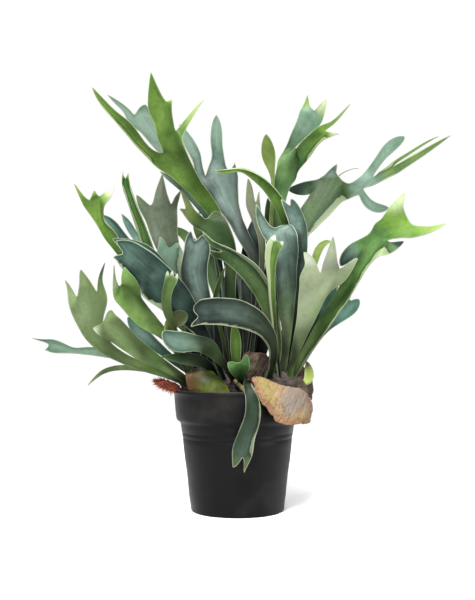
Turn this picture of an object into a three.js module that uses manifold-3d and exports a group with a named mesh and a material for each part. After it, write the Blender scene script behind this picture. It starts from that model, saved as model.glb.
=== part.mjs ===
// A staghorn fern in a black plastic nursery pot, in millimetres, +Z up.
// The origin is the centre of the pot's foot, and the plant is seen from the front, along +Y.
// The fern is a branched rhizome in the soil, the papery shield fronds that clasp it, and
// the forked antler fronds, each a thin blade that stands in its own socket in the rhizome.
import * as THREE from "three";
import Module from "manifold-3d";

const wasm = await Module();
wasm.setup();

// Pot
const potHeight = 160;
const rimRadius = 85;
const footRadius = 61.5;
const collarFoot = 119; // height where the wide collar begins
const potWall = 1.8;
const potSides = 32;
const footNotches = 8;
const soilTop = 151;

// Clearance left between two pieces that would touch
const gap = 0.35;

// Frond stations are drawn in the plane of the pot's axis, as an eye in front of the pot
// sees them; each goes back or forward along its line of sight to its own depth
const eyeDistance = 1150;
const eyeHeight = 216;

// Blades
const bladeThickness = 1.1;
const stalkThickness = 2.4;
const tipThickness = 0.9;
const stalkWidth = 8; // a ribbon this narrow has the stalk's thickness
const rowSpacing = 21;
const socketReach = 48; // how much of a stalk's foot its socket clears
const waveLength = 85;
const waveDepth = 0.035; // of the blade's width

// Forks: how far a tine takes to turn from its cut to its own way, how firmly it starts square
// to the cut, how far back its notches shape the blade, and how the tines keep off each notch
const joinLength = 26;
const joinPull = 0.9;
const bayReach = 30;
const notchReach = 32;
const notchGap = 1.6;
const notchSlope = 0.15;
const aimShare = 0.6;

// Crowns of the rhizome: centre, radii, and how lumpy
const crowns = [
  { at: [55, -22, 164], size: [31, 26, 31], lumps: 1.1 },
  { at: [-1, -9, 158], size: [25, 24, 29], lumps: 1 },
  { at: [-51, -13, 156], size: [25, 24, 27], lumps: 1.1 },
  { at: [16, 35, 163], size: [38, 30, 47], lumps: 1.6 },
];
// Runners of the rhizome between the crowns, by crown
const runners = [[0, 1], [1, 2], [1, 3], [0, 3]];
const runnerRadius = 12;
const runnerDrop = 14; // below the crowns' centres
// A dead stipe that leans from the rhizome onto the soil: ends and radii
const deadStipe = { from: [-4, 171, -30], to: [14, 154, -73], radii: [3, 3.6] };

// Shield fronds: rows of [across, up, back] from where each leaves the rhizome to its free edge
const shields = {
  shieldTan: { thick: 1.3, colour: 0xc9a56c, net: [
    [[36, 161, -40], [43, 161, -42], [50, 160, -44], [58, 160, -43], [66, 161, -38]],
    [[18, 180, -77], [28, 184, -75], [44, 173, -68], [62, 165, -62], [88, 162, -46]],
    [[20, 168, -84], [35, 166, -82], [52, 161, -78], [70, 158, -68], [93, 154, -44]],
    [[24, 155, -88], [40, 151, -85], [57, 148, -81], [76, 147, -68], [98, 145, -36]],
    [[33, 140, -89], [48, 138, -86], [63, 137, -80], [79, 134, -68], [98, 133, -34]],
    [[45, 128, -88], [56, 126, -85], [68, 124, -79], [82, 122, -68], [98, 121, -36]],
    [[50, 117, -88], [59, 114, -86], [68, 111, -81], [80, 113, -71], [95, 115, -42]]] },
  shieldGreen: { thick: 1.3, colour: 0x7c8a3c, net: [
    [[-66, 186, -43], [-53, 188, -42], [-39, 186, -42], [-29, 180, -40], [-20, 170, -37]],
    [[-69, 179, -50], [-55, 181, -55], [-40, 179, -56], [-27, 174, -52], [-15, 165, -46]],
    [[-67, 168, -54], [-53, 168, -61], [-38, 167, -62], [-24, 164, -59], [-11, 158, -52]],
    [[-61, 150, -50], [-49, 150, -58], [-36, 150, -61], [-22, 150, -59], [-10, 150, -53]]] },
};

// Tuft of rusty fibre that lies over the rim at the left
const tuft = { at: [-91, -24, 167], size: [15, 9, 5.6], lumps: 0.6 };

// Fronds. A way is stations of [across, up, back, width]; turn swings the blade about its
// midrib and cup curls its edges forward, both in degrees from the way's start to its end.
const fronds = {
  tallLeft: {
    tone: "bright", cup: [40, 26], turn: [0, 18],
    way: [[4, 176, -8, 7], [4, 215, -6, 8], [0, 260, -5, 10], [-14, 340, -6, 14], [-30, 393, -10, 17],
      [-50, 420, -20, 20], [-68, 443, -32, 28], [-84, 462, -42, 40]], bays: [[-98, 475]],
    tines: [
      { way: [[-119, 475, -50, 11], [-133, 491, -56, 13], [-147, 509, -62, 15], [-160, 521, -66, 10],
        [-175, 536, -68, 9], [-187, 551, -70, 6], [-193, 561, -70, 1]] },
      { way: [[-88, 488, -48, 29]], bays: [[-82, 503]], tines: [
        { way: [[-97, 512, -54, 24], [-103, 535, -58, 31]], bays: [[-94, 541]], tines: [
          { way: [[-112, 560, -62, 12], [-115, 581, -66, 1]] },
          { way: [[-89, 543, -57, 5], [-88, 546, -56, 1]] }] },
        { way: [[-71, 510, -43, 8], [-64, 520, -40, 6], [-55, 533, -36, 4], [-45, 544, -32, 1]] }] }],
  },
  greyBehind: {
    tone: "grey", cup: [30, 20], turn: [0, -14],
    way: [[-8, 172, 34, 7], [-16, 250, 32, 8], [-24, 320, 31, 10], [-40, 395, 36, 14], [-62, 440, 44, 20],
      [-85, 470, 52, 24], [-106, 492, 60, 25], [-121, 512, 66, 28]], bays: [[-137, 526]],
    tines: [{ way: [[-147, 530, 71, 9], [-158, 539, 73, 7], [-173, 551, 76, 1]] },
      { way: [[-125, 526, 73, 21], [-123, 534, 77, 13], [-122, 538, 79, 1]] }],
  },
  blueCentre: {
    tone: "blue", cup: [40, 24], turn: [0, -14],
    way: [[10, 176, 3, 7], [20, 240, 9, 8], [24, 300, 14, 11], [23, 335, 18, 15], [12, 355, 23, 16],
      [0, 378, 31, 18], [-10, 400, 39, 28], [-20, 428, 47, 40]], bays: [[-42, 446], [-11, 451]],
    tines: [{ way: [[-51, 463, 54, 17], [-62, 483, 58, 16], [-70, 498, 62, 12], [-77, 512, 64, 1]] },
      { way: [[-26, 468, 60, 16], [-28, 490, 67, 17], [-28, 510, 72, 14], [-28, 524, 76, 1]] },
      { way: [[-5, 449, 51, 10], [-4, 461, 55, 1]] }],
  },
  curledTip: {
    tone: "green", cup: [40, 50], turn: [0, 14],
    way: [[55, 178, -20, 7], [63, 240, -21, 8], [69, 290, -22, 11], [72, 340, -22, 14], [68, 374, -22, 15],
      [60, 397, -24, 15], [48, 418, -28, 14], [34, 434, -34, 12], [20, 444, -41, 9], [8, 451, -48, 5],
      [-6, 451, -56, 4], [-18, 448, -62, 6], [-30, 450, -68, 1]],
  },
  blueRight: {
    tone: "blue", cup: [50, 30], turn: [0, -6],
    way: [[60, 170, -36, 7], [63, 200, -44, 8], [65, 222, -50, 10], [66, 245, -55, 14], [65, 275, -60, 22],
      [65, 310, -64, 27], [64, 340, -66, 32], [60, 360, -66, 39]], bays: [[49, 373]],
    tines: [{ way: [[35, 376, -64, 13], [29, 390, -62, 10], [25, 406, -60, 1]] },
      { way: [[66, 371, -62, 23], [67, 377, -55, 14], [67, 378, -47, 1]] }],
  },
  darkRight: {
    tone: "dark", cup: [30, 50], turn: [0, -18],
    way: [[66, 172, -27, 7], [72, 230, -36, 8], [80, 290, -41, 12], [84, 340, -43, 17], [80, 380, -43, 22],
      [71, 402, -42, 20]],
    tines: [{ way: [[58, 412, -40, 1]] }, { way: [[71, 413, -41, 1]] }],
  },
  paleCurl: {
    tone: "pale", cup: [50, 70],
    way: [[56, 172, -40, 5], [54, 190, -52, 5], [52, 207, -64, 5], [49, 245, -78, 6], [46, 280, -85, 8], [45, 310, -88, 9],
      [44, 332, -88, 15], [47, 348, -88, 18]], bays: [[53, 357]],
    tines: [{ way: [[47, 358, -86, 8], [50, 365, -84, 1]] }, { way: [[57, 353, -85, 6], [61, 356, -82, 1]] }],
  },
  sageRight: {
    tone: "sage", cup: [40, 24], turn: [0, -12],
    way: [[68, 170, -38, 6], [74, 200, -50, 9], [83, 230, -62, 16], [92, 258, -73, 24], [99, 285, -82, 34],
      [105, 302, -88, 44]], bays: [[111, 311], [136, 321]],
    tines: [{ way: [[99, 324, -93, 16], [94, 335, -95, 11], [88, 342, -96, 1]] },
      { way: [[124, 333, -98, 15], [126, 348, -102, 9], [127, 363, -106, 1]] },
      { way: [[146, 319, -95, 12], [153, 327, -98, 7], [160, 334, -100, 1]] }],
  },
  greenRight: {
    tone: "green", cup: [50, 30], turn: [0, 20],
    way: [[70, 170, -33, 6], [88, 204, -42, 11], [105, 232, -51, 15], [122, 258, -60, 17],
      [138, 282, -68, 18], [152, 306, -76, 19], [164, 328, -83, 21], [176, 348, -87, 30]],
    ends: [[160, 338], [188, 339]], bays: [[177, 362], [199, 358]],
    tines: [
      { way: [[155, 346, -78, 18], [147, 339, -74, 17], [141, 331, -71, 13], [137, 323, -69, 1]] },
      { way: [[198, 371, -97, 36], [207, 379, -100, 42]], ends: [[189, 385], [228, 360]], bays: [[230, 377]],
        tines: [{ way: [[211, 400, -103, 18], [216, 410, -106, 9], [222, 421, -108, 1]] },
          { way: [[241, 369, -109, 14], [258, 372, -115, 7], [277, 380, -120, 1]] }] },
      { way: [[203, 347, -90, 14], [212, 352, -88, 8], [221, 356, -86, 1]] }],
  },
  archingSage: {
    tone: "sage", cup: [40, 40], turn: [0, 14],
    way: [[49, 176, -38, 7], [54, 205, -51, 8], [53, 225, -57, 11], [46, 258, -66, 18], [34, 290, -74, 24],
      [16, 316, -81, 24], [-3, 332, -86, 20], [-18, 341, -89, 18]],
    tines: [{ way: [[-30, 337, -91, 10], [-37, 345, -91, 1]] },
      { way: [[-34, 352, -88, 8], [-41, 361, -86, 4], [-47, 370, -84, 1]] }],
  },
  broadUpper: {
    tone: "olive", cup: [40, 22], turn: [0, 16],
    way: [[60, 174, -12, 8], [69, 215, -7, 9], [73, 260, -2, 12], [75, 330, 8, 18], [84, 370, 18, 26],
      [101, 394, 29, 38], [116, 411, 38, 42]], ends: [[97, 420], [139, 409]], bays: [[107, 437], [139, 437]],
    tines: [
      { way: [[88, 425, 46, 19], [79, 425, 50, 14], [67, 425, 53, 1]] },
      { way: [[124, 447, 50, 13], [129, 453, 55, 7], [132, 459, 56, 1]] },
      { way: [[148, 424, 38, 18], [156, 428, 36, 13]], ends: [[153, 434], [161, 419]], bays: [[166, 426]],
        tines: [
        { way: [[169, 436, 38, 17]], bays: [[181, 441]], tines: [
          { way: [[178, 450, 50, 11], [190, 467, 60, 12], [204, 483, 69, 17], [215, 491, 75, 12],
            [222, 495, 80, 1]] },
          { way: [[190, 443, 31, 15], [203, 450, 28, 14]], bays: [[206, 455]], tines: [
            { way: [[218, 467, 28, 5], [235, 478, 29, 4], [251, 488, 30, 3], [267, 496, 31, 1]] },
            { way: [[222, 460, 23, 12], [240, 470, 19, 9], [262, 484, 14, 6], [283, 497, 10, 1]] }] }] },
        { way: [[169, 412, 27, 12], [178, 403, 18, 14], [190, 399, 10, 13], [201, 401, 4, 1]] }] }],
  },
  greenUpper: {
    tone: "green", cup: [40, 30], turn: [0, -10],
    way: [[47, 174, -9, 7], [52, 240, -4, 8], [54, 300, -2, 10], [54, 360, 2, 12], [54, 400, 8, 16],
      [59, 430, 14, 22], [67, 449, 19, 32]], bays: [[62, 463]],
    tines: [
      { way: [[71, 477, 26, 15], [83, 499, 37, 25], [93, 515, 46, 30]], bays: [[102, 531]], tines: [
        { way: [[92, 536, 54, 9], [93, 551, 61, 1]] }, { way: [[111, 532, 52, 13], [119, 546, 56, 1]] }] },
      { way: [[80, 463, 16, 21], [92, 481, 9, 22], [106, 497, 2, 17]], bays: [[117, 503]], tines: [
        { way: [[124, 511, 2, 5], [136, 523, 2, 4], [150, 539, 2, 1]] },
        { way: [[121, 498, -6, 7], [135, 499, -12, 1]] }] }],
  },
  smallTip: {
    tone: "bright", cup: [30, 24],
    way: [[14, 174, 0, 5], [28, 250, 5, 5], [40, 330, 4, 5], [45, 390, -4, 5], [47, 440, -8, 4],
      [45, 453, -10, 9], [41, 470, -13, 20], [39, 485, -18, 15], [38, 499, -22, 1]],
  },
  paleTip: {
    tone: "pale", cup: [40, 40],
    way: [[13, 176, -9, 6], [24, 250, -4, 6], [32, 320, -2, 7], [32, 360, -3, 9], [26, 384, -5, 13],
      [21, 404, -7, 20]],
    tines: [{ way: [[17, 424, -9, 11], [14, 440, -11, 1]] }, { way: [[27, 413, -6, 5], [29, 423, -5, 1]] }],
  },
  darkCentre: {
    tone: "dark", cup: [30, 30], turn: [0, 15],
    way: [[14, 172, 36, 6], [30, 240, 34, 7], [42, 300, 31, 9], [45, 340, 28, 12], [44, 375, 24, 17],
      [42, 398, 19, 12], [40, 414, 18, 1]],
  },
  greenMid: {
    tone: "green", cup: [50, 30],
    way: [[-5, 174, -17, 6], [-8, 215, -22, 7], [-10, 255, -26, 12], [-10, 300, -30, 15],
      [-8, 332, -32, 16], [-14, 353, -33, 24], [-28, 368, -34, 38]], ends: [[-51, 372], [-13, 381]],
    bays: [[-42, 385]],
    tines: [
      { way: [[-56, 385, -38, 19], [-63, 394, -38, 13]], bays: [[-69, 400]], tines: [
        { way: [[-72, 398, -39, 5], [-77, 399, -40, 1]] },
        { way: [[-67, 408, -37, 8], [-71, 416, -35, 6], [-75, 424, -34, 1]] }] },
      { way: [[-29, 391, -31, 15], [-29, 397, -30, 1]] }],
  },
  sageMid: {
    tone: "sage", cup: [40, 30], turn: [0, 16],
    way: [[-42, 168, -7, 7], [-44, 210, -9, 8], [-58, 275, -9, 12], [-78, 318, -6, 20], [-92, 350, 0, 31],
      [-99, 378, 8, 40], [-102, 394, 13, 46]], bays: [[-115, 403], [-88, 403]],
    tines: [{ way: [[-126, 404, 18, 14], [-131, 412, 21, 8], [-134, 418, 23, 1]] },
      { way: [[-102, 418, 22, 17], [-101, 430, 26, 11], [-100, 446, 31, 1]] },
      { way: [[-83, 410, 16, 9], [-75, 424, 20, 1]] }],
  },
  paleFold: {
    tone: "pale", cup: [50, 80],
    way: [[-46, 170, -15, 6], [-55, 225, -25, 6], [-69, 275, -31, 9], [-80, 298, -34, 17],
      [-87, 318, -35, 27], [-89, 336, -35, 34]], bays: [[-91, 349]],
    tines: [{ way: [[-99, 351, -36, 11], [-103, 362, -37, 1]] }, { way: [[-81, 349, -36, 11], [-78, 354, -36, 1]] }],
  },
  blueMid: {
    tone: "blue", cup: [50, 34], turn: [0, -8],
    way: [[-40, 170, -23, 7], [-36, 200, -32, 8], [-37, 232, -41, 12], [-46, 268, -50, 23],
      [-56, 300, -56, 34], [-58, 326, -60, 37], [-54, 341, -61, 32]], bays: [[-57, 359]],
    tines: [{ way: [[-63, 362, -61, 9], [-62, 370, -60, 1]] }, { way: [[-46, 358, -60, 15], [-45, 365, -59, 1]] }],
  },
  darkLeft: {
    tone: "dark", cup: [50, 20], turn: [0, 14],
    way: [[-18, 172, -24, 7], [-30, 203, -42, 9], [-45, 232, -57, 16], [-68, 262, -70, 32],
      [-92, 288, -80, 44], [-112, 308, -86, 44], [-128, 325, -90, 42], [-140, 336, -92, 35]], bays: [[-154, 342]],
    tines: [{ way: [[-157, 335, -95, 9], [-165, 335, -98, 1]] }, { way: [[-151, 351, -92, 14], [-161, 357, -92, 1]] }],
  },
  upperLeft: {
    tone: "blue", cup: [40, 20], turn: [0, -10],
    way: [[-50, 170, -20, 6], [-62, 225, -37, 7], [-76, 280, -49, 8], [-97, 318, -57, 15],
      [-120, 338, -60, 24], [-142, 349, -61, 20], [-158, 356, -61, 9], [-166, 360, -61, 1]],
  },
  centreBlade: {
    tone: "blue", cup: [50, 34], turn: [0, 12],
    way: [[41, 172, -38, 7], [47, 195, -60, 9], [47, 218, -78, 13], [38, 237, -92, 20], [20, 254, -102, 29],
      [-5, 262, -109, 32], [-28, 263, -113, 33], [-45, 263, -115, 31]], bays: [[-52, 256]],
    tines: [{ way: [[-54, 250, -116, 8], [-62, 243, -116, 1]] }, { way: [[-53, 268, -115, 18], [-58, 271, -114, 1]] }],
  },
  toothed: {
    tone: "pale", cup: [40, 30],
    way: [[-51, 172, -26, 5], [-58, 194, -34, 5], [-68, 213, -58, 5], [-80, 232, -80, 6], [-90, 253, -89, 9], [-95, 272, -93, 12],
      [-94, 290, -95, 12], [-89, 303, -96, 14]], bays: [[-90, 309], [-84, 308]],
    tines: [{ way: [[-93, 311, -96, 5], [-93, 317, -96, 1]] },
      { way: [[-87, 311, -96, 5], [-87, 317, -96, 1]] }, { way: [[-81, 309, -97, 5], [-80, 314, -97, 1]] }],
  },
  greenLobe: {
    tone: "green", cup: [30, 20],
    way: [[-58, 170, -25, 5], [-66, 194, -35, 5], [-80, 212, -56, 5], [-94, 230, -72, 6], [-93, 244, -77, 11],
      [-84, 252, -79, 24], [-74, 256, -79, 22], [-66, 258, -78, 1]],
  },
  sageNear: {
    tone: "sage", cup: [50, 30], turn: [0, 18],
    way: [[-62, 171, -19, 6], [-74, 203, -32, 9], [-90, 226, -44, 12], [-110, 243, -56, 18],
      [-128, 257, -71, 31], [-140, 271, -84, 38]], ends: [[-161, 275], [-129, 283]], bays: [[-156, 298]],
    tines: [{ way: [[-162, 295, -93, 9], [-162, 308, -98, 5], [-164, 325, -103, 1]] },
      { way: [[-142, 298, -96, 24], [-148, 310, -103, 12], [-150, 322, -109, 1]] }],
  },
  foldLeft: {
    tone: "blue", cup: [50, 40], turn: [0, -16],
    way: [[-6, 172, -28, 6], [-14, 188, -46, 8], [-29, 205, -66, 14], [-40, 218, -82, 23],
      [-54, 221, -92, 17], [-68, 221, -99, 22], [-82, 223, -103, 30], [-92, 230, -104, 19], [-99, 237, -104, 1]],
  },
  youngGreen: {
    tone: "bright", cup: [40, 30],
    way: [[0, 174, -26, 6], [-2, 195, -34, 10], [-2, 215, -39, 15], [-3, 235, -42, 12], [-5, 248, -43, 1]],
  },
  smallPair: {
    tone: "blue", cup: [30, 40],
    way: [[4, 168, -28, 6], [4, 174, -46, 9], [3, 180, -60, 20], [2, 185, -66, 27]], bays: [[3, 194]],
    tines: [{ way: [[-7, 191, -69, 12], [-13, 195, -70, 1]] }, { way: [[9, 196, -68, 12], [13, 206, -66, 1]] }],
  },
  darkLance: {
    tone: "dark", cup: [40, 30],
    way: [[-27, 166, -22, 6], [-32, 184, -39, 9], [-45, 196, -51, 15], [-64, 200, -56, 16], [-85, 202, -57, 10],
      [-101, 203, -58, 1]],
  },
  sageBig: {
    tone: "sage", cup: [50, 26], turn: [0, -14],
    way: [[-60, 163, -22, 6], [-90, 178, -30, 9], [-120, 188, -40, 11], [-150, 200, -51, 13],
      [-175, 215, -62, 18], [-190, 234, -71, 27], [-196, 254, -79, 36], [-198, 270, -84, 41]],
    bays: [[-213, 282], [-187, 290]],
    tines: [{ way: [[-220, 288, -88, 9], [-229, 305, -92, 1]] },
      { way: [[-202, 300, -88, 15], [-207, 312, -90, 7], [-208, 319, -92, 1]] },
      { way: [[-184, 301, -84, 6], [-181, 314, -86, 4], [-176, 328, -88, 1]] }],
  },
  sageFront: {
    tone: "sage", cup: [60, 50], turn: [0, 16],
    way: [[-62, 169, -30, 6], [-90, 186, -48, 12], [-115, 202, -64, 18], [-140, 219, -78, 25],
      [-160, 236, -87, 33]], ends: [[-173, 226], [-156, 254]], bays: [[-179, 248]],
    tines: [{ way: [[-184, 239, -91, 12], [-192, 241, -93, 1]] }, { way: [[-169, 258, -90, 13], [-167, 265, -91, 1]] }],
  },
  blueFar: {
    tone: "blue", cup: [30, 24], turn: [0, -14],
    way: [[-66, 168, -6, 6], [-95, 181, -3, 6], [-120, 190, 1, 7], [-150, 202, 6, 8], [-175, 208, 11, 12],
      [-198, 211, 15, 11], [-218, 211, 19, 6], [-234, 215, 22, 16], [-244, 217, 24, 18]], bays: [[-250, 219]],
    tines: [{ way: [[-251, 213, 25, 5], [-256, 212, 25, 1]] },
      { way: [[-254, 224, 26, 4], [-263, 225, 27, 2], [-273, 228, 29, 1]] }],
  },
  thinArch: {
    tone: "green", cup: [30, 20],
    way: [[-69, 162, -10, 5], [-83, 175, -16, 5], [-115, 184, -23, 5], [-150, 189, -29, 7],
      [-176, 185, -33, 6], [-187, 177, -34, 4], [-199, 165, -35, 1]],
  },
  forkLeft: {
    tone: "green", cup: [40, 40], turn: [0, 18],
    way: [[-56, 172, -12, 6], [-62, 230, -20, 7], [-84, 278, -26, 8], [-112, 303, -32, 9], [-140, 324, -38, 10],
      [-158, 347, -45, 12], [-170, 366, -51, 17], [-181, 379, -55, 9], [-187, 392, -60, 16],
      [-190, 402, -63, 24]], bays: [[-196, 409], [-183, 416]],
    tines: [{ way: [[-206, 414, -66, 6], [-217, 433, -71, 1]] }, { way: [[-190, 416, -65, 7], [-190, 424, -67, 1]] },
      { way: [[-173, 418, -60, 11], [-163, 431, -58, 1]] }],
  },
  darkLobe: {
    tone: "dark", cup: [30, 30],
    way: [[-50, 166, -2, 6], [-60, 230, -4, 6], [-88, 285, -12, 7], [-118, 325, -20, 8], [-142, 350, -23, 10],
      [-156, 364, -23, 15], [-168, 379, -22, 16], [-180, 392, -20, 1]],
  },
  narrowGreen: {
    tone: "green", cup: [50, 80], turn: [0, 20],
    way: [[-38, 166, -1, 6], [-50, 230, 0, 7], [-76, 283, -2, 8], [-106, 322, -3, 10], [-121, 355, -9, 13],
      [-130, 380, -17, 12], [-139, 404, -30, 10], [-147, 428, -37, 9]], bays: [[-149, 440]],
    tines: [{ way: [[-153, 440, -41, 4], [-151, 449, -42, 1]] }, { way: [[-146, 440, -42, 4], [-145, 447, -43, 1]] }],
  },
  blueBack: {
    tone: "blue", cup: [30, 20],
    way: [[-16, 168, 36, 6], [-45, 230, 34, 6], [-80, 290, 34, 7], [-112, 330, 38, 8], [-137, 365, 45, 10],
      [-146, 380, 48, 11], [-154, 393, 51, 1]],
  },
  greyStrip: {
    tone: "grey", cup: [30, 30],
    way: [[-10, 172, -2, 6], [-15, 250, 2, 6], [-22, 320, 4, 6], [-35, 378, 5, 7], [-52, 403, 5, 7],
      [-75, 428, 4, 8], [-90, 440, 3, 8], [-103, 449, 2, 1]],
  },
  backLobe: {
    tone: "grey", cup: [30, 20], turn: [0, -16],
    way: [[70, 168, -16, 6], [85, 194, -17, 8], [99, 218, -14, 10], [113, 240, -9, 15], [127, 256, -5, 25],
      [139, 268, -3, 32]], bays: [[151, 279]],
    tines: [{ way: [[145, 282, 0, 15], [149, 290, 2, 1]] }, { way: [[156, 273, -2, 15], [162, 279, 0, 1]] }],
  },
  darkBetween: {
    tone: "dark", cup: [30, 30],
    way: [[71, 170, -24, 6], [88, 210, -33, 9], [106, 246, -41, 15], [119, 273, -46, 22], [126, 290, -48, 12],
      [131, 303, -49, 1]],
  },
  hookTip: {
    tone: "green", cup: [30, 40],
    way: [[64, 178, -21, 5], [78, 230, -28, 6], [90, 285, -34, 7], [99, 318, -38, 8], [104, 335, -40, 9],
      [108, 348, -42, 11], [116, 356, -43, 9], [124, 356, -44, 1]],
  },
  smallPale: {
    tone: "pale", cup: [30, 30],
    way: [[74, 166, -29, 5], [84, 167, -32, 6], [93, 168, -33, 11], [96, 176, -33, 15], [95, 185, -34, 12],
      [92, 197, -34, 1]],
  },
  thinSpike: {
    tone: "bright", cup: [40, 40],
    way: [[-11, 172, -14, 5], [-20, 230, -26, 5], [-31, 270, -33, 5], [-28, 290, -36, 6], [-22, 308, -38, 5],
      [-16, 323, -39, 1]],
  },
  droopFront: {
    tone: "blue", cup: [-30, -20],
    way: [[17, 163, -26, 6], [15, 168, -50, 7], [13, 169, -70, 8], [14, 163, -88, 10], [20, 145, -96, 17],
      [21, 125, -96, 20], [14, 104, -95, 21], [9, 88, -94, 21]], bays: [[7, 67]],
    tines: [{ way: [[14, 68, -94, 9], [10, 58, -94, 4], [9, 49, -95, 1]] }, { way: [[0, 67, -92, 12], [-6, 56, -91, 1]] }],
  },
  innerLeft: {
    tone: "dark", cup: [30, 30],
    way: [[-2, 176, 20, 8], [-5, 215, 16, 18], [-12, 255, 16, 28], [-10, 290, 18, 20], [-5, 326, 20, 1]],
  },
  innerRight: {
    tone: "dark", cup: [30, 30],
    way: [[24, 176, 22, 8], [32, 215, 18, 18], [38, 252, 18, 26], [37, 290, 20, 20], [34, 318, 21, 1]],
  },
  backTallLeft: {
    tone: "green", cup: [-50, -30],
    way: [[-8, 172, 44, 7], [-14, 225, 66, 8], [-24, 280, 88, 13], [-38, 325, 106, 24], [-52, 355, 118, 36]],
    tines: [{ way: [[-74, 368, 126, 14], [-90, 376, 133, 1]] }, { way: [[-54, 378, 126, 15], [-50, 396, 132, 1]] }],
  },
  backTallRight: {
    tone: "blue", cup: [-50, -30],
    way: [[14, 172, 44, 7], [26, 225, 68, 8], [42, 280, 92, 14], [55, 318, 110, 26], [63, 345, 121, 38]],
    tines: [{ way: [[55, 372, 128, 15], [52, 394, 134, 1]] }, { way: [[80, 362, 129, 15], [92, 378, 137, 1]] }],
  },
  backFarRight: {
    tone: "sage", cup: [-50, -26],
    way: [[22, 170, 48, 7], [44, 200, 76, 9], [70, 230, 106, 16], [92, 256, 130, 28], [104, 274, 143, 40]],
    tines: [{ way: [[98, 296, 151, 16], [96, 312, 158, 1]] }, { way: [[120, 284, 152, 15], [134, 296, 162, 1]] }],
  },
  backFarLeft: {
    tone: "green", cup: [-50, -26],
    way: [[-14, 168, 50, 7], [-36, 200, 78, 9], [-62, 235, 108, 16], [-82, 264, 130, 28], [-93, 284, 141, 40]],
    tines: [{ way: [[-112, 298, 150, 15], [-124, 312, 158, 1]] }, { way: [[-90, 306, 150, 16], [-86, 324, 157, 1]] }],
  },
  backCentre: {
    tone: "blue", cup: [-50, -30],
    way: [[6, 176, 50, 8], [8, 215, 78, 14], [10, 250, 106, 26], [10, 280, 128, 38], [9, 302, 142, 46]],
    tines: [{ way: [[-6, 318, 154, 15], [-13, 334, 161, 1]] }, { way: [[22, 320, 154, 15], [27, 338, 161, 1]] }],
  },
  backLow: {
    tone: "sage", cup: [-50, -40],
    way: [[-2, 166, 58, 7], [-6, 180, 92, 9], [-14, 194, 126, 16], [-22, 203, 150, 26], [-27, 208, 162, 32]],
    tines: [{ way: [[-42, 207, 175, 13], [-51, 206, 186, 1]] }, { way: [[-27, 219, 176, 14], [-31, 227, 187, 1]] }],
  },
  backLowRight: {
    tone: "green", cup: [-50, -34],
    way: [[14, 166, 58, 7], [30, 184, 90, 9], [50, 203, 122, 17], [66, 216, 146, 30]],
    tines: [{ way: [[66, 232, 160, 14], [62, 240, 172, 1]] }, { way: [[84, 222, 156, 14], [98, 224, 168, 1]] }],
  },
  backLowLeft: {
    tone: "pale", cup: [-40, -30],
    way: [[-12, 164, 54, 6], [-32, 178, 84, 8], [-52, 192, 112, 14], [-68, 204, 132, 24]],
    tines: [{ way: [[-82, 212, 142, 10], [-92, 214, 154, 1]] }, { way: [[-68, 222, 144, 11], [-66, 234, 154, 1]] }],
  },
};

const tones = {
  bright: 0x6d9a35, green: 0x4f7a3e, olive: 0x6a8440, blue: 0x5d7f7a, dark: 0x36524a,
  grey: 0x6f8480, sage: 0x93a67a, pale: 0xa9b98c,
};

function eased(value) {
  const t = THREE.MathUtils.clamp(value, 0, 1);
  return t * t * (3 - 2 * t);
}

function placed(station) {
  const [across, up, back] = station;
  const scale = (eyeDistance + back) / eyeDistance;
  return new THREE.Vector3(across * scale, back, eyeHeight + (up - eyeHeight) * scale);
}

// Smooth curve through a way's stations, by distance along it
function smoothWay(points, widths, firstSlope) {
  const marks = [0];
  for (let i = 1; i < points.length; i++) marks.push(marks[i - 1] + points[i].distanceTo(points[i - 1]));
  const last = points.length - 1;
  const slope = (values, minus, i) => {
    if (i === 0) return firstSlope ?? minus(values[1], values[0], marks[1]);
    if (i === last) return minus(values[last], values[last - 1], marks[last] - marks[last - 1]);
    return minus(values[i + 1], values[i - 1], marks[i + 1] - marks[i - 1]);
  };
  const pointSlopes = points.map((_, i) =>
    slope(points, (a, b, d) => a.clone().sub(b).divideScalar(d), i));
  return {
    length: marks[last],
    at(s) {
      let i = 0;
      while (i < last - 1 && s > marks[i + 1]) i++;
      const d = marks[i + 1] - marks[i];
      const t = Math.min(Math.max((s - marks[i]) / d, 0), 1);
      const [h0, h1, h2, h3] = [2 * t ** 3 - 3 * t ** 2 + 1, t ** 3 - 2 * t ** 2 + t,
        3 * t ** 2 - 2 * t ** 3, t ** 3 - t ** 2];
      const [g0, g1, g2] = [6 * t ** 2 - 6 * t, 3 * t ** 2 - 4 * t + 1, 3 * t ** 2 - 2 * t];
      const point = new THREE.Vector3().addScaledVector(points[i], h0)
        .addScaledVector(pointSlopes[i], h1 * d).addScaledVector(points[i + 1], h2)
        .addScaledVector(pointSlopes[i + 1], h3 * d);
      const along = new THREE.Vector3().addScaledVector(points[i], g0)
        .addScaledVector(pointSlopes[i], g1 * d).addScaledVector(points[i + 1], -g0)
        .addScaledVector(pointSlopes[i + 1], g2 * d).normalize();
      return { point, along, width: widths[i] + (widths[i + 1] - widths[i]) * t * t * (3 - 2 * t) * 0.5
        + (widths[i + 1] - widths[i]) * t * 0.5 };
    },
  };
}

// Directions across and out of the blade where it runs along a line of growth
function facing(point, along, turn) {
  const out = new THREE.Vector3(0, -eyeDistance, eyeHeight).sub(point).normalize();
  out.addScaledVector(along, -out.dot(along)).normalize();
  const across = along.clone().cross(out);
  const angle = THREE.MathUtils.degToRad(turn);
  return {
    across: across.clone().multiplyScalar(Math.cos(angle)).addScaledVector(out, Math.sin(angle)),
    out: out.clone().multiplyScalar(Math.cos(angle)).addScaledVector(across, -Math.sin(angle)),
  };
}

// How the width is shared out among the tips that a ribbon ends in
function tipShares(ribbon) {
  if (!ribbon.tines) return [1];
  const total = ribbon.tines.reduce((sum, tine) => sum + tine.way[0][3], 0);
  return ribbon.tines.flatMap((tine) => tipShares(tine).map((share) => share * tine.way[0][3] / total));
}

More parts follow.
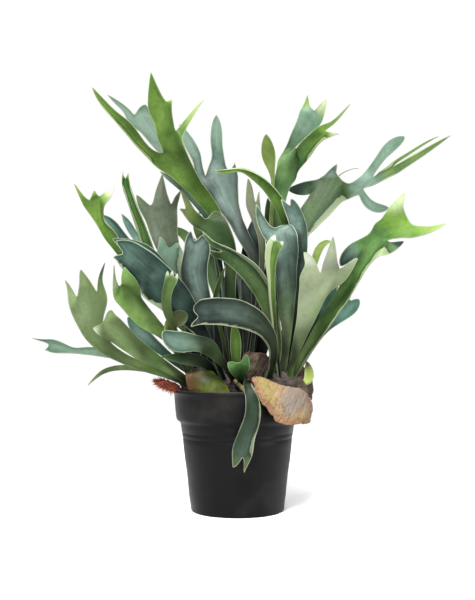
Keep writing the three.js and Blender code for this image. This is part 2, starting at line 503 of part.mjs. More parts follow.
// The middle sheet of a blade: points with thickness, and triangles
function growSheet(frond, extra = 0, reach = Infinity) {
  const points = [];
  const thick = [];
  const faces = [];
  const add = (point, thickness) => {
    points.push(point);
    thick.push(thickness);
    return points.length - 1;
  };

  function grow(ribbon, start, turns, cups, travelled) {
    const stations = ribbon.way.map(placed);
    const widths = ribbon.way.map((station) => station[3]);
    if (start) {
      stations.unshift(points[start.row[0]].clone().lerp(points[start.row.at(-1)], 0.5));
      widths.unshift(points[start.row[0]].distanceTo(points[start.row.at(-1)]));
    }
    const way = smoothWay(stations, widths, start && start.along.clone().multiplyScalar(joinPull));
    const turn = ribbon.turn ?? [turns, turns];
    const cup = ribbon.cup ?? [cups, cups];
    const isTip = !ribbon.tines;
    const cut = travelled === 0 && reach < way.length;
    const lastStart = cut ? reach : way.length;
    const rows = Math.max(2, Math.round(lastStart / rowSpacing));
    const shares = tipShares(ribbon);
    if (!start && shares.length === 1) shares.splice(0, 1, 0.5, 0.5);
    const bounds = [0];
    for (const share of shares) bounds.push(bounds.at(-1) + share);

    const frameAt = (s) => {
      const here = way.at(s);
      const angle = turn[0] + (turn[1] - turn[0]) * s / way.length;
      const frame = facing(here.point, here.along, angle);
      if (start) {
        frame.across.lerp(start.across, 1 - Math.min(1, s / joinLength));
        frame.across.addScaledVector(here.along, -frame.across.dot(here.along)).normalize();
        frame.out = frame.across.clone().cross(here.along);
      }
      const width = (here.width + 2 * extra) / Math.max(0.35, Math.cos(THREE.MathUtils.degToRad(angle)));
      return { ...here, ...frame, full: width };
    };
    const crossRow = (frame, s, rowBounds) => {
      const curl = THREE.MathUtils.degToRad(cup[0] + (cup[1] - cup[0]) * s / way.length);
      const wave = waveDepth * frame.width * Math.sin((travelled + s) * 2 * Math.PI / waveLength);
      const bend = Math.max(Math.abs(curl) / 2, 0.01);
      const radius = frame.full / 2 / Math.sin(bend);
      return rowBounds.map((bound) => {
        const u = 2 * bound - 1;
        const rise = radius * (1 - Math.cos(u * bend)) - radius * (1 - Math.cos(bend)) / 2;
        return frame.point.clone().addScaledVector(frame.across, radius * Math.sin(u * bend))
          .addScaledVector(frame.out, rise * Math.sign(curl) + wave * u * Math.abs(u) * (u > 0 ? 1 : 0.7));
      });
    };
    const offsets = start && crossRow(frameAt(0), 0, bounds)
      .map((point, i) => points[start.row[i]].clone().sub(point));

    let previous = start ? start.row : null;
    let previousBounds = bounds;
    let frame;
    const grown = [];
    for (let i = start ? 1 : 0; i <= rows; i++) {
      const s = lastStart * i / rows;
      frame = frameAt(s);
      if (i === 0) frame.point.addScaledVector(frame.along, -2 * extra);
      let rowBounds = bounds;
      let row;
      if (isTip && i === rows && !cut) {
        row = [add(frame.point.clone(), tipThickness)];
        rowBounds = [0.5];
      } else {
        const narrow = THREE.MathUtils.clamp((frame.width - stalkWidth) / 10, 0, 1);
        const thickness = start ? bladeThickness : stalkThickness + (bladeThickness - stalkThickness) * narrow;
        const few = !start && bounds.length > 3 && frame.width < 13 && i < rows - 1;
        rowBounds = few ? [0, 0.5, 1] : bounds;
        row = crossRow(frame, s, rowBounds).map((point, j) => {
          if (start) point.addScaledVector(offsets[j], 1 - eased(s / joinLength));
          return add(point, thickness + 2 * extra);
        });
        if (start) keepApart(row, start);
      }
      grown.push({ row, rowBounds, left: way.length - s });
      if (previous) stitch(previous, previousBounds, row, rowBounds);
      previous = row;
      previousBounds = rowBounds;
    }
    if (!isTip && !cut) {
      if (ribbon.bays) openBays(ribbon, grown, way.length);
      forkFrom(ribbon, previous, frame, turn[1], cup[1], travelled + way.length);
    }
  }

  // Moves the notches of a fork to their bays, and the blade just before them along with them
  function openBays(ribbon, grown, length) {
    const row = grown.at(-1).row;
    const total = ribbon.tines.reduce((sum, tine) => sum + tine.way[0][3], 0);
    const [firstEnd, lastEnd] = ribbon.ends ?? [];
    let [count, bound] = [0, 0];
    const marks = [firstEnd, ...ribbon.bays, lastEnd].map((place, i) => {
      if (i > 0) {
        count += tipShares(ribbon.tines[i - 1]).length;
        bound += ribbon.tines[i - 1].way[0][3] / total;
      }
      const point = points[row[count]];
      const shift = place ? placed([place[0], place[1], point.y]).sub(point) : new THREE.Vector3();
      return { bound, shift };
    });
    const window = Math.min(bayReach, 0.9 * length);
    for (const { row: moved, rowBounds, left } of grown) {
      const share = eased(1 - left / window);
      if (share === 0) continue;
      moved.forEach((index, j) => {
        const k = Math.max(1, marks.findIndex((mark) => mark.bound > rowBounds[j] - 1e-6));
        const t = (rowBounds[j] - marks[k - 1].bound) / (marks[k].bound - marks[k - 1].bound);
        points[index].add(marks[k - 1].shift.clone().lerp(marks[k].shift, t).multiplyScalar(share));
      });
    }
  }

  // Triangles between two rows that may differ in their number of points
  function stitch(low, lowBounds, high, highBounds) {
    let [i, j] = [0, 0];
    while (i + 1 < low.length || j + 1 < high.length) {
      const lowNext = i + 1 < low.length ? lowBounds[i] + lowBounds[i + 1] : Infinity;
      const highNext = j + 1 < high.length ? highBounds[j] + highBounds[j + 1] : Infinity;
      if (lowNext <= highNext) faces.push([low[i], low[++i], high[j]]);
      else faces.push([low[i], high[j + 1], high[j++]]);
    }
  }

  // Points of neighbouring tines keep to their own side of the notch between them
  function keepApart(row, start) {
    for (const notch of start.notches) {
      for (const index of row) {
        const off = points[index].clone().sub(notch.point);
        const near = off.length();
        if (near > notchReach) continue;
        const need = Math.min(notchGap, notchSlope * near);
        const side = off.dot(notch.normal) * notch.side;
        if (side < need) points[index].addScaledVector(notch.normal, notch.side * (need - side));
      }
    }
  }

  function forkFrom(ribbon, row, frame, turn, cup, travelled) {
    const tines = ribbon.tines;
    const aims = tines.map((tine) => placed(tine.way[0]));
    let from = 0;
    const cuts = tines.map((tine) => {
      const count = tipShares(tine).length;
      const cut = row.slice(from, from + count + 1);
      from += count;
      return cut;
    });
    if (from !== row.length - 1) throw new Error("fork does not share out its row");
    const chords = cuts.map((cut) => points[cut.at(-1)].clone().sub(points[cut[0]]).normalize());
    tines.forEach((tine, i) => {
      const across = chords[i];
      const notches = [];
      for (const [other, side] of [[i - 1, 1], [i + 1, -1]]) {
        if (other < 0 || other >= tines.length) continue;
        const point = points[side > 0 ? cuts[i][0] : cuts[i].at(-1)];
        const both = across.clone().add(chords[other]).normalize();
        const middle = aims[i].clone().sub(point).normalize()
          .add(aims[other].clone().sub(point).normalize())
          .add(frame.out.clone().cross(both)).normalize();
        const normal = aims[Math.max(i, other)].clone().sub(aims[Math.min(i, other)]).normalize()
          .multiplyScalar(aimShare).add(both);
        normal.addScaledVector(middle, -normal.dot(middle)).normalize();
        notches.push({ point, normal, side });
      }
      const along = frame.out.clone().cross(across).normalize();
      grow(tine, { row: cuts[i], along, across, notches }, turn, cup, travelled);
    });
  }

  grow(frond, null, frond.turn?.[0] ?? 0, frond.cup?.[0] ?? 0, 0);
  return { points, thick, faces };
}

// A sheet given its thickness, with a rim all round
function thicken({ points, thick, faces }) {
  const normals = points.map(() => new THREE.Vector3());
  for (const [a, b, c] of faces) {
    const normal = points[b].clone().sub(points[a]).cross(points[c].clone().sub(points[a]));
    for (const i of [a, b, c]) normals[i].add(normal);
  }
  const vertices = [];
  for (const side of [1, -1]) {
    points.forEach((point, i) => {
      const normal = normals[i].clone().normalize();
      vertices.push(...point.clone().addScaledVector(normal, side * thick[i] / 2).toArray());
    });
  }
  const count = points.length;
  const triangles = [];
  const edges = new Map();
  for (const [a, b, c] of faces) {
    triangles.push(a, b, c, c + count, b + count, a + count);
    for (const [p, q] of [[a, b], [b, c], [c, a]]) {
      if (edges.has(`${q},${p}`)) edges.delete(`${q},${p}`);
      else edges.set(`${p},${q}`, [p, q]);
    }
  }
  for (const [p, q] of edges.values()) triangles.push(q, p, p + count, q, p + count, q + count);
  return new wasm.Manifold(new wasm.Mesh({
    numProp: 3, vertProperties: Float32Array.from(vertices), triVerts: Uint32Array.from(triangles),
  }));
}

// Closed solid of revolution about +Z from a closed outline of [radius, height]
function turned(outline, sides) {
  const section = new wasm.CrossSection([outline]);
  return section.revolve(sides);
}

// A lumpy ball: centre, radii, and the height of its lumps
function lumpyBall({ at, size, lumps }, grow = 0, across = 11, down = 7) {
  const vertices = [];
  const triangles = [];
  const wobble = (angle, tilt) => lumps * (Math.sin(3 * angle + 2 * tilt + at[0]) + Math.sin(5 * angle - 3 * tilt));
  for (let i = 0; i <= down; i++) {
    const tilt = Math.PI * i / down;
    const count = i === 0 || i === down ? 1 : across;
    for (let j = 0; j < count; j++) {
      const angle = 2 * Math.PI * (j + (i % 2) / 2) / across;
      const bump = count === 1 ? 0 : wobble(angle, tilt) * Math.sin(tilt);
      const [rx, ry, rz] = size.map((radius) => radius + bump + grow);
      vertices.push(at[0] + rx * Math.sin(tilt) * Math.cos(angle), at[1] + ry * Math.sin(tilt) * Math.sin(angle),
        at[2] + rz * Math.cos(tilt));
    }
  }
  const index = (i, j) => (i === 0 ? 0 : i === down ? 1 + (down - 1) * across : 1 + (i - 1) * across + (j % across));
  for (let j = 0; j < across; j++) {
    triangles.push(index(0, 0), index(1, j), index(1, j + 1));
    triangles.push(index(down, 0), index(down - 1, j + 1), index(down - 1, j));
    for (let i = 1; i < down - 1; i++) {
      if (i % 2) {
        triangles.push(index(i, j), index(i + 1, j), index(i, j + 1));
        triangles.push(index(i, j + 1), index(i + 1, j), index(i + 1, j + 1));
      } else {
        triangles.push(index(i, j), index(i + 1, j), index(i + 1, j + 1));
        triangles.push(index(i, j), index(i + 1, j + 1), index(i, j + 1));
      }
    }
  }
  return new wasm.Manifold(new wasm.Mesh({
    numProp: 3, vertProperties: Float32Array.from(vertices), triVerts: Uint32Array.from(triangles),
  }));
}

function largest(solid) {
  return solid.decompose().sort((a, b) => b.volume() - a.volume())[0];
}

const group = new THREE.Group();
group.name = "staghornFern";

function addPiece(name, solid, colour, roughness = 0.8) {
  const mesh = solid.getMesh();
  const geometry = new THREE.BufferGeometry();
  geometry.setAttribute("position", new THREE.BufferAttribute(new Float32Array(mesh.vertProperties), 3));
  geometry.setIndex(new THREE.BufferAttribute(new Uint32Array(mesh.triVerts), 1));
  geometry.computeVertexNormals();
  const piece = new THREE.Mesh(geometry, new THREE.MeshStandardMaterial({ color: colour, roughness, metalness: 0 }));
  piece.name = name;
  group.add(piece);
  return piece;
}

// Pot: outside up to the lip, over it, and down the inside
const outside = [[footRadius - 2.5, 0], [footRadius, 2.5], [67, 50], [70, 70], [72.6, 96], [75.2, collarFoot - 3],
  [80.4, collarFoot + 2], [81.4, collarFoot + 5], [83.9, 155.2], [rimRadius, 156], [rimRadius, 159.2],
  [rimRadius - 0.7, potHeight]];
const inside = [[82.6, potHeight], [82, 155], [79.5, collarFoot + 6], [73.6, collarFoot - 1], [70.6, 96],
  [68.1, 70], [65.1, 50], [60, 3]];
let pot = turned([[0, 0], ...outside, ...inside, [0, 3]], potSides);
for (let i = 0; i < footNotches; i++) {
  const notch = wasm.Manifold.cube([7, 9, 2.2], true).translate([footRadius - 0.2, 0, 0.4])
    .rotate([0, 0, (i + 0.5) * 360 / footNotches]);
  pot = pot.subtract(notch);
}
addPiece("pot", pot, 0x2b2b2d, 0.6);

// What nothing may come into: the pot's wall and lip with the clearance round them
const wallSpace = turned([[rimRadius + gap, 3], [rimRadius + gap, potHeight + gap], [82.6 - gap, potHeight + gap],
  ...inside.map(([radius, height]) => [radius - gap, height])], potSides);

// Antler fronds, and the sockets they stand in
const sockets = [];
for (const [name, frond] of Object.entries(fronds)) {
  sockets.push(thicken(growSheet({ ...frond, tines: undefined }, gap, socketReach)));
  addPiece(`frond_${name}`, thicken(growSheet(frond)), tones[frond.tone]);
}

// Shield fronds, notched where stalks pass
for (const [name, { thick, colour, net }] of Object.entries(shields)) {
  const sheet = (extra) => thicken({
    points: net.flatMap((row, i) => row.map((station, j) => {
      const point = placed(station);
      const inner = placed(net[Math.max(i, 1)][Math.min(Math.max(j, 1), row.length - 2)]);
      return inner.equals(point) ? point
        : point.clone().addScaledVector(point.clone().sub(inner).normalize(), 3 * extra);
    })),
    thick: net.flat().map(() => thick + 2 * extra),
    faces: net.slice(1).flatMap((row, i) => row.slice(1).flatMap((_, j) => {
      const [a, b] = [i * row.length + j, (i + 1) * row.length + j];
      return [[a, b, b + 1], [a, b + 1, a + 1]];
    })),
  });
  let solid = sheet(0);
  for (const socket of sockets) solid = solid.subtract(socket);
  addPiece(name, largest(solid), colour, 0.9);
  sockets.push(sheet(1.6 * gap));
}

// Rhizome: the crowns and a dead stipe, one body
const bar = (ends, radii, sides) => wasm.Manifold.hull(ends.map((end, i) =>
  wasm.Manifold.sphere(radii[i], sides).translate(end)));
const stipeEnds = [deadStipe.from, deadStipe.to].map((end) => placed(end).toArray());
const rhizomeBody = (extra) => wasm.Manifold.union([
  ...crowns.map((crown) => lumpyBall(crown, extra)),
  ...runners.map((pair) => bar(pair.map((i) => [crowns[i].at[0], crowns[i].at[1], crowns[i].at[2] - runnerDrop]),
    [runnerRadius + extra, runnerRadius + extra], 10)),
  bar(stipeEnds, deadStipe.radii.map((radius) => radius + extra), 8)]);
const hollow = rhizomeBody(gap);
let rhizome = rhizomeBody(0).subtract(wallSpace);
for (const socket of sockets) rhizome = rhizome.subtract(socket);
addPiece("rhizome", largest(rhizome), 0x4a3a2c, 0.95);

addPiece("fibreTuft", largest(lumpyBall(tuft, 0, 10, 6).subtract(hollow).subtract(wallSpace)), 0x8a4a2c, 1);

// Soil, hollowed for the rhizome
let soil = turned([[0, 3 + gap], ...inside.slice(2).reverse().map(([radius, height]) => [radius - gap, height]),
  [81.2, soilTop - 2], [60, soilTop + 1], [34, soilTop - 0.6], [0, soilTop]], potSides).subtract(hollow);
soil = soil.subtract(wallSpace);
for (const socket of sockets) soil = soil.subtract(socket);
addPiece("soil", largest(soil), 0x33281f, 1);

export default group;
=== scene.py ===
import math
import random
from collections import Counter
from contextlib import contextmanager

import bpy
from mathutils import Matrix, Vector, kdtree, noise
from mathutils.bvhtree import BVHTree


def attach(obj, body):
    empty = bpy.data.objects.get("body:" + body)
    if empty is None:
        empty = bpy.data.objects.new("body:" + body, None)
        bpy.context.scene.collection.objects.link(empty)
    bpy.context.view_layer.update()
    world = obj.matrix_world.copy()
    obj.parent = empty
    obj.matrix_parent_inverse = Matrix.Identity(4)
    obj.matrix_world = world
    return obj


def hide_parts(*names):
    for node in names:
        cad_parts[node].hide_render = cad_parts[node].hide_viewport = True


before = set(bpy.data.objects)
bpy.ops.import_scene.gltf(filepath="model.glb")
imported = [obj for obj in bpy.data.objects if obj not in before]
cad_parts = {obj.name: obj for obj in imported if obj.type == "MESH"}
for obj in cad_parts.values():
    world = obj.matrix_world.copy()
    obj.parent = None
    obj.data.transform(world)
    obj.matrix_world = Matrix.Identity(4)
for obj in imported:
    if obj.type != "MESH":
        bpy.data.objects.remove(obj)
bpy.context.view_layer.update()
random.seed(11)
mm = 0.001
fullTurn = 2 * math.pi


# Small helpers for the pieces
def clearSelection():
    if bpy.context.mode != "OBJECT":
        bpy.ops.object.mode_set(mode="OBJECT")
    bpy.ops.object.select_all(action="DESELECT")


def makeCurrent(piece):
    clearSelection()
    bpy.context.view_layer.objects.active = piece
    piece.select_set(True)


def settled(piece):  # its place, turn and size go into its mesh
    makeCurrent(piece)
    bpy.ops.object.transform_apply(location=True, rotation=True, scale=True)
    return piece


@contextmanager
def editing(piece, action="SELECT"):
    makeCurrent(piece)
    bpy.ops.object.mode_set(mode="EDIT")
    if action:
        bpy.ops.mesh.select_all(action=action)
    yield
    bpy.ops.object.mode_set(mode="OBJECT")


def outwards():  # in edit mode
    bpy.ops.mesh.select_all(action="SELECT")
    bpy.ops.mesh.normals_make_consistent(inside=False)


def applyModifier(piece, kind, name, **settings):
    makeCurrent(piece)
    modifier = piece.modifiers.new(name, kind)
    for key, value in settings.items():
        setattr(modifier, key, value)
    bpy.ops.object.modifier_apply(modifier=modifier.name)


def meshPiece(name, verts, faces):
    mesh = bpy.data.meshes.new(name)
    mesh.from_pydata(verts, [], faces)
    piece = bpy.data.objects.new(name, mesh)
    bpy.context.collection.objects.link(piece)
    return piece


def keepValues(mesh, name, kind, domain, values):  # an attribute that a material can read
    mesh.attributes.new(name, kind, domain).data.foreach_set("color" if "COLOR" in kind else "value", values)


def finishPiece(piece, name, material, replaced, smoothAngle):
    piece.name = name
    piece.data.name = name
    piece.data.materials.clear()
    piece.data.materials.append(material)
    if smoothAngle:
        makeCurrent(piece)
        bpy.ops.object.shade_smooth_by_angle(angle=math.radians(smoothAngle))
    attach(piece, "root")
    if replaced:
        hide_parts(replaced)
    return piece


def eased(value):
    value = min(max(value, 0), 1)
    return value * value * (3 - 2 * value)


def mixed(first, second, share):
    return first + (second - first) * share


def circle(centre, along, radius, count):  # points around a line
    side = along.orthogonal().normalized()
    other = along.cross(side)
    angles = [fullTurn * k / count for k in range(count)]
    return [centre + (side * math.cos(angle) + other * math.sin(angle)) * radius for angle in angles]


# Colours are given as they look in the studio, whose light this share makes up for
studioShare = 0.29


def tint(red, green, blue):
    def linear(value):
        value = value / 255
        return value / 12.92 if value <= 0.04045 else ((value + 0.055) / 1.055) ** 2.4
    return tuple(studioShare * linear(value) for value in (red, green, blue)) + (1,)


class Finish:  # a material whose colour is laid on coat by coat
    def __init__(self, name, specular=0.5):
        self.material = bpy.data.materials.new(name)
        self.material.use_nodes = True
        self.tree = self.material.node_tree
        self.shader = self.tree.nodes["Principled BSDF"]
        self.shader.inputs["Specular IOR Level"].default_value = specular
        self.coords = self.node("TexCoord").outputs["Object"]

    def node(self, kind, inputs=None, **settings):
        made = self.tree.nodes.new("ShaderNode" + kind)
        for key, value in settings.items():
            setattr(made, key, value)
        for key, value in (inputs or {}).items():
            if isinstance(value, bpy.types.NodeSocket):
                self.tree.links.new(value, made.inputs[key])
            else:
                made.inputs[key].default_value = value
        return made

    def kept(self, name, output="Fac"):  # an attribute of the piece
        return self.node("Attribute", attribute_name=name).outputs[output]

    def axes(self):
        return self.node("SeparateXYZ", {0: self.coords}).outputs

    def noise(self, scale, detail=3.0, roughness=0.55, distortion=0.0, vector=None):
        return self.node("TexNoise", {"Vector": vector or self.coords, "Scale": scale, "Detail": detail,
                                      "Roughness": roughness, "Distortion": distortion}).outputs[0]

    def stretched(self, scale, vector=None):
        return self.node("Mapping", {"Vector": vector or self.coords, "Scale": scale}).outputs[0]

    def ribs(self, scale, width):  # thin winding lines
        wandering = self.noise(1.0, 3.0, 0.55, 0.8, self.stretched(scale))
        off = self.math("ABSOLUTE", self.math("SUBTRACT", wandering, 0.5))
        return self.ranged(off, 0.0, width, 1.0, 0)

    def ranged(self, value, low, high, start=0.0, end=1.0):
        return self.node("MapRange", {"Value": value, "From Min": low, "From Max": high, "To Min": start,
                                      "To Max": end}, interpolation_type="SMOOTHSTEP").outputs[0]

    def math(self, operation, first, second=0.0):
        return self.node("Math", {0: first, 1: second}, operation=operation).outputs[0]

    def times(self, value, *others):
        for other in others:
            value = self.math("MULTIPLY", value, other)
        return value

    def mix(self, share, first, second):
        return self.node("Mix", {0: share, 6: first, 7: second}, data_type="RGBA").outputs[2]

    def base(self, share, deep, light):
        self.colour = self.mix(share, tint(*deep), tint(*light))

    def coat(self, share, colour):  # a colour, or another node's output, over what is there
        self.colour = self.mix(share, self.colour, tint(*colour) if isinstance(colour, tuple) else colour)

    def done(self, roughness, height, strength, distance):
        bump = self.node("Bump", {"Height": height, "Strength": strength, "Distance": distance})
        sockets = {"Base Color": self.colour, "Roughness": roughness, "Normal": bump.outputs[0]}
        for key, value in sockets.items():
            self.tree.links.new(value, self.shader.inputs[key])
        return self.material


# Camera, floor and light
view = {"distance": 1.150, "eyeHeight": 0.216, "viewHeight": 0.797, "rise": 0.0783, "filmHeight": 24}
clearSelection()
bpy.ops.object.camera_add(location=(0, -view["distance"], view["eyeHeight"]), rotation=(math.pi / 2, 0, 0))
camera = bpy.context.object
camera.name = "photoCamera"
camera.data.sensor_fit = "VERTICAL"
camera.data.sensor_height = view["filmHeight"]
camera.data.lens = view["filmHeight"] * view["distance"] / view["viewHeight"]
camera.data.shift_y = view["rise"]
camera.data.clip_start = 0.05
bpy.context.scene.camera = camera

studio = {
    "sky": 1.02, "floorSize": 2, "floorGreys": (0.46, 0.47), "aim": (0, 0, 0.3),
    "lamps": {"key": {"at": (-0.35, -1.6, 2.2), "size": 1.0, "power": 300},
              "side": {"at": (1.9, -0.9, 0.7), "size": 0.9, "power": 34},
              "top": {"at": (-0.2, 0.7, 2.4), "size": 1.3, "power": 60}},
}
clearSelection()
bpy.ops.mesh.primitive_plane_add(size=studio["floorSize"], location=(0, 0, 0))
floor = settled(bpy.context.object)
floor.name = "paleFloor"
finish = Finish("paleFloorFinish", 0.1)
greys = [(grey, grey, grey, 1) for grey in studio["floorGreys"]]
finish.tree.links.new(finish.mix(finish.noise(3.0), *greys), finish.shader.inputs["Base Color"])
finish.shader.inputs["Roughness"].default_value = 0.9
floor.data.materials.append(finish.material)

world = bpy.data.worlds.new("studioSky")
bpy.context.scene.world = world
world.use_nodes = True
world.node_tree.nodes["Background"].inputs["Color"].default_value = (1, 1, 1, 1)
world.node_tree.nodes["Background"].inputs["Strength"].default_value = studio["sky"]
for name, lamp in studio["lamps"].items():
    clearSelection()
    bpy.ops.object.light_add(type="AREA", location=lamp["at"])
    made = bpy.context.object
    made.name = name + "Softbox"
    made.data.size = lamp["size"]
    made.data.energy = lamp["power"]
    made.rotation_euler = (Vector(studio["aim"]) - Vector(lamp["at"])).to_track_quat("-Z", "Y").to_euler()
bpy.context.scene.view_settings.view_transform = "Standard"
print("camera, floor and light set")

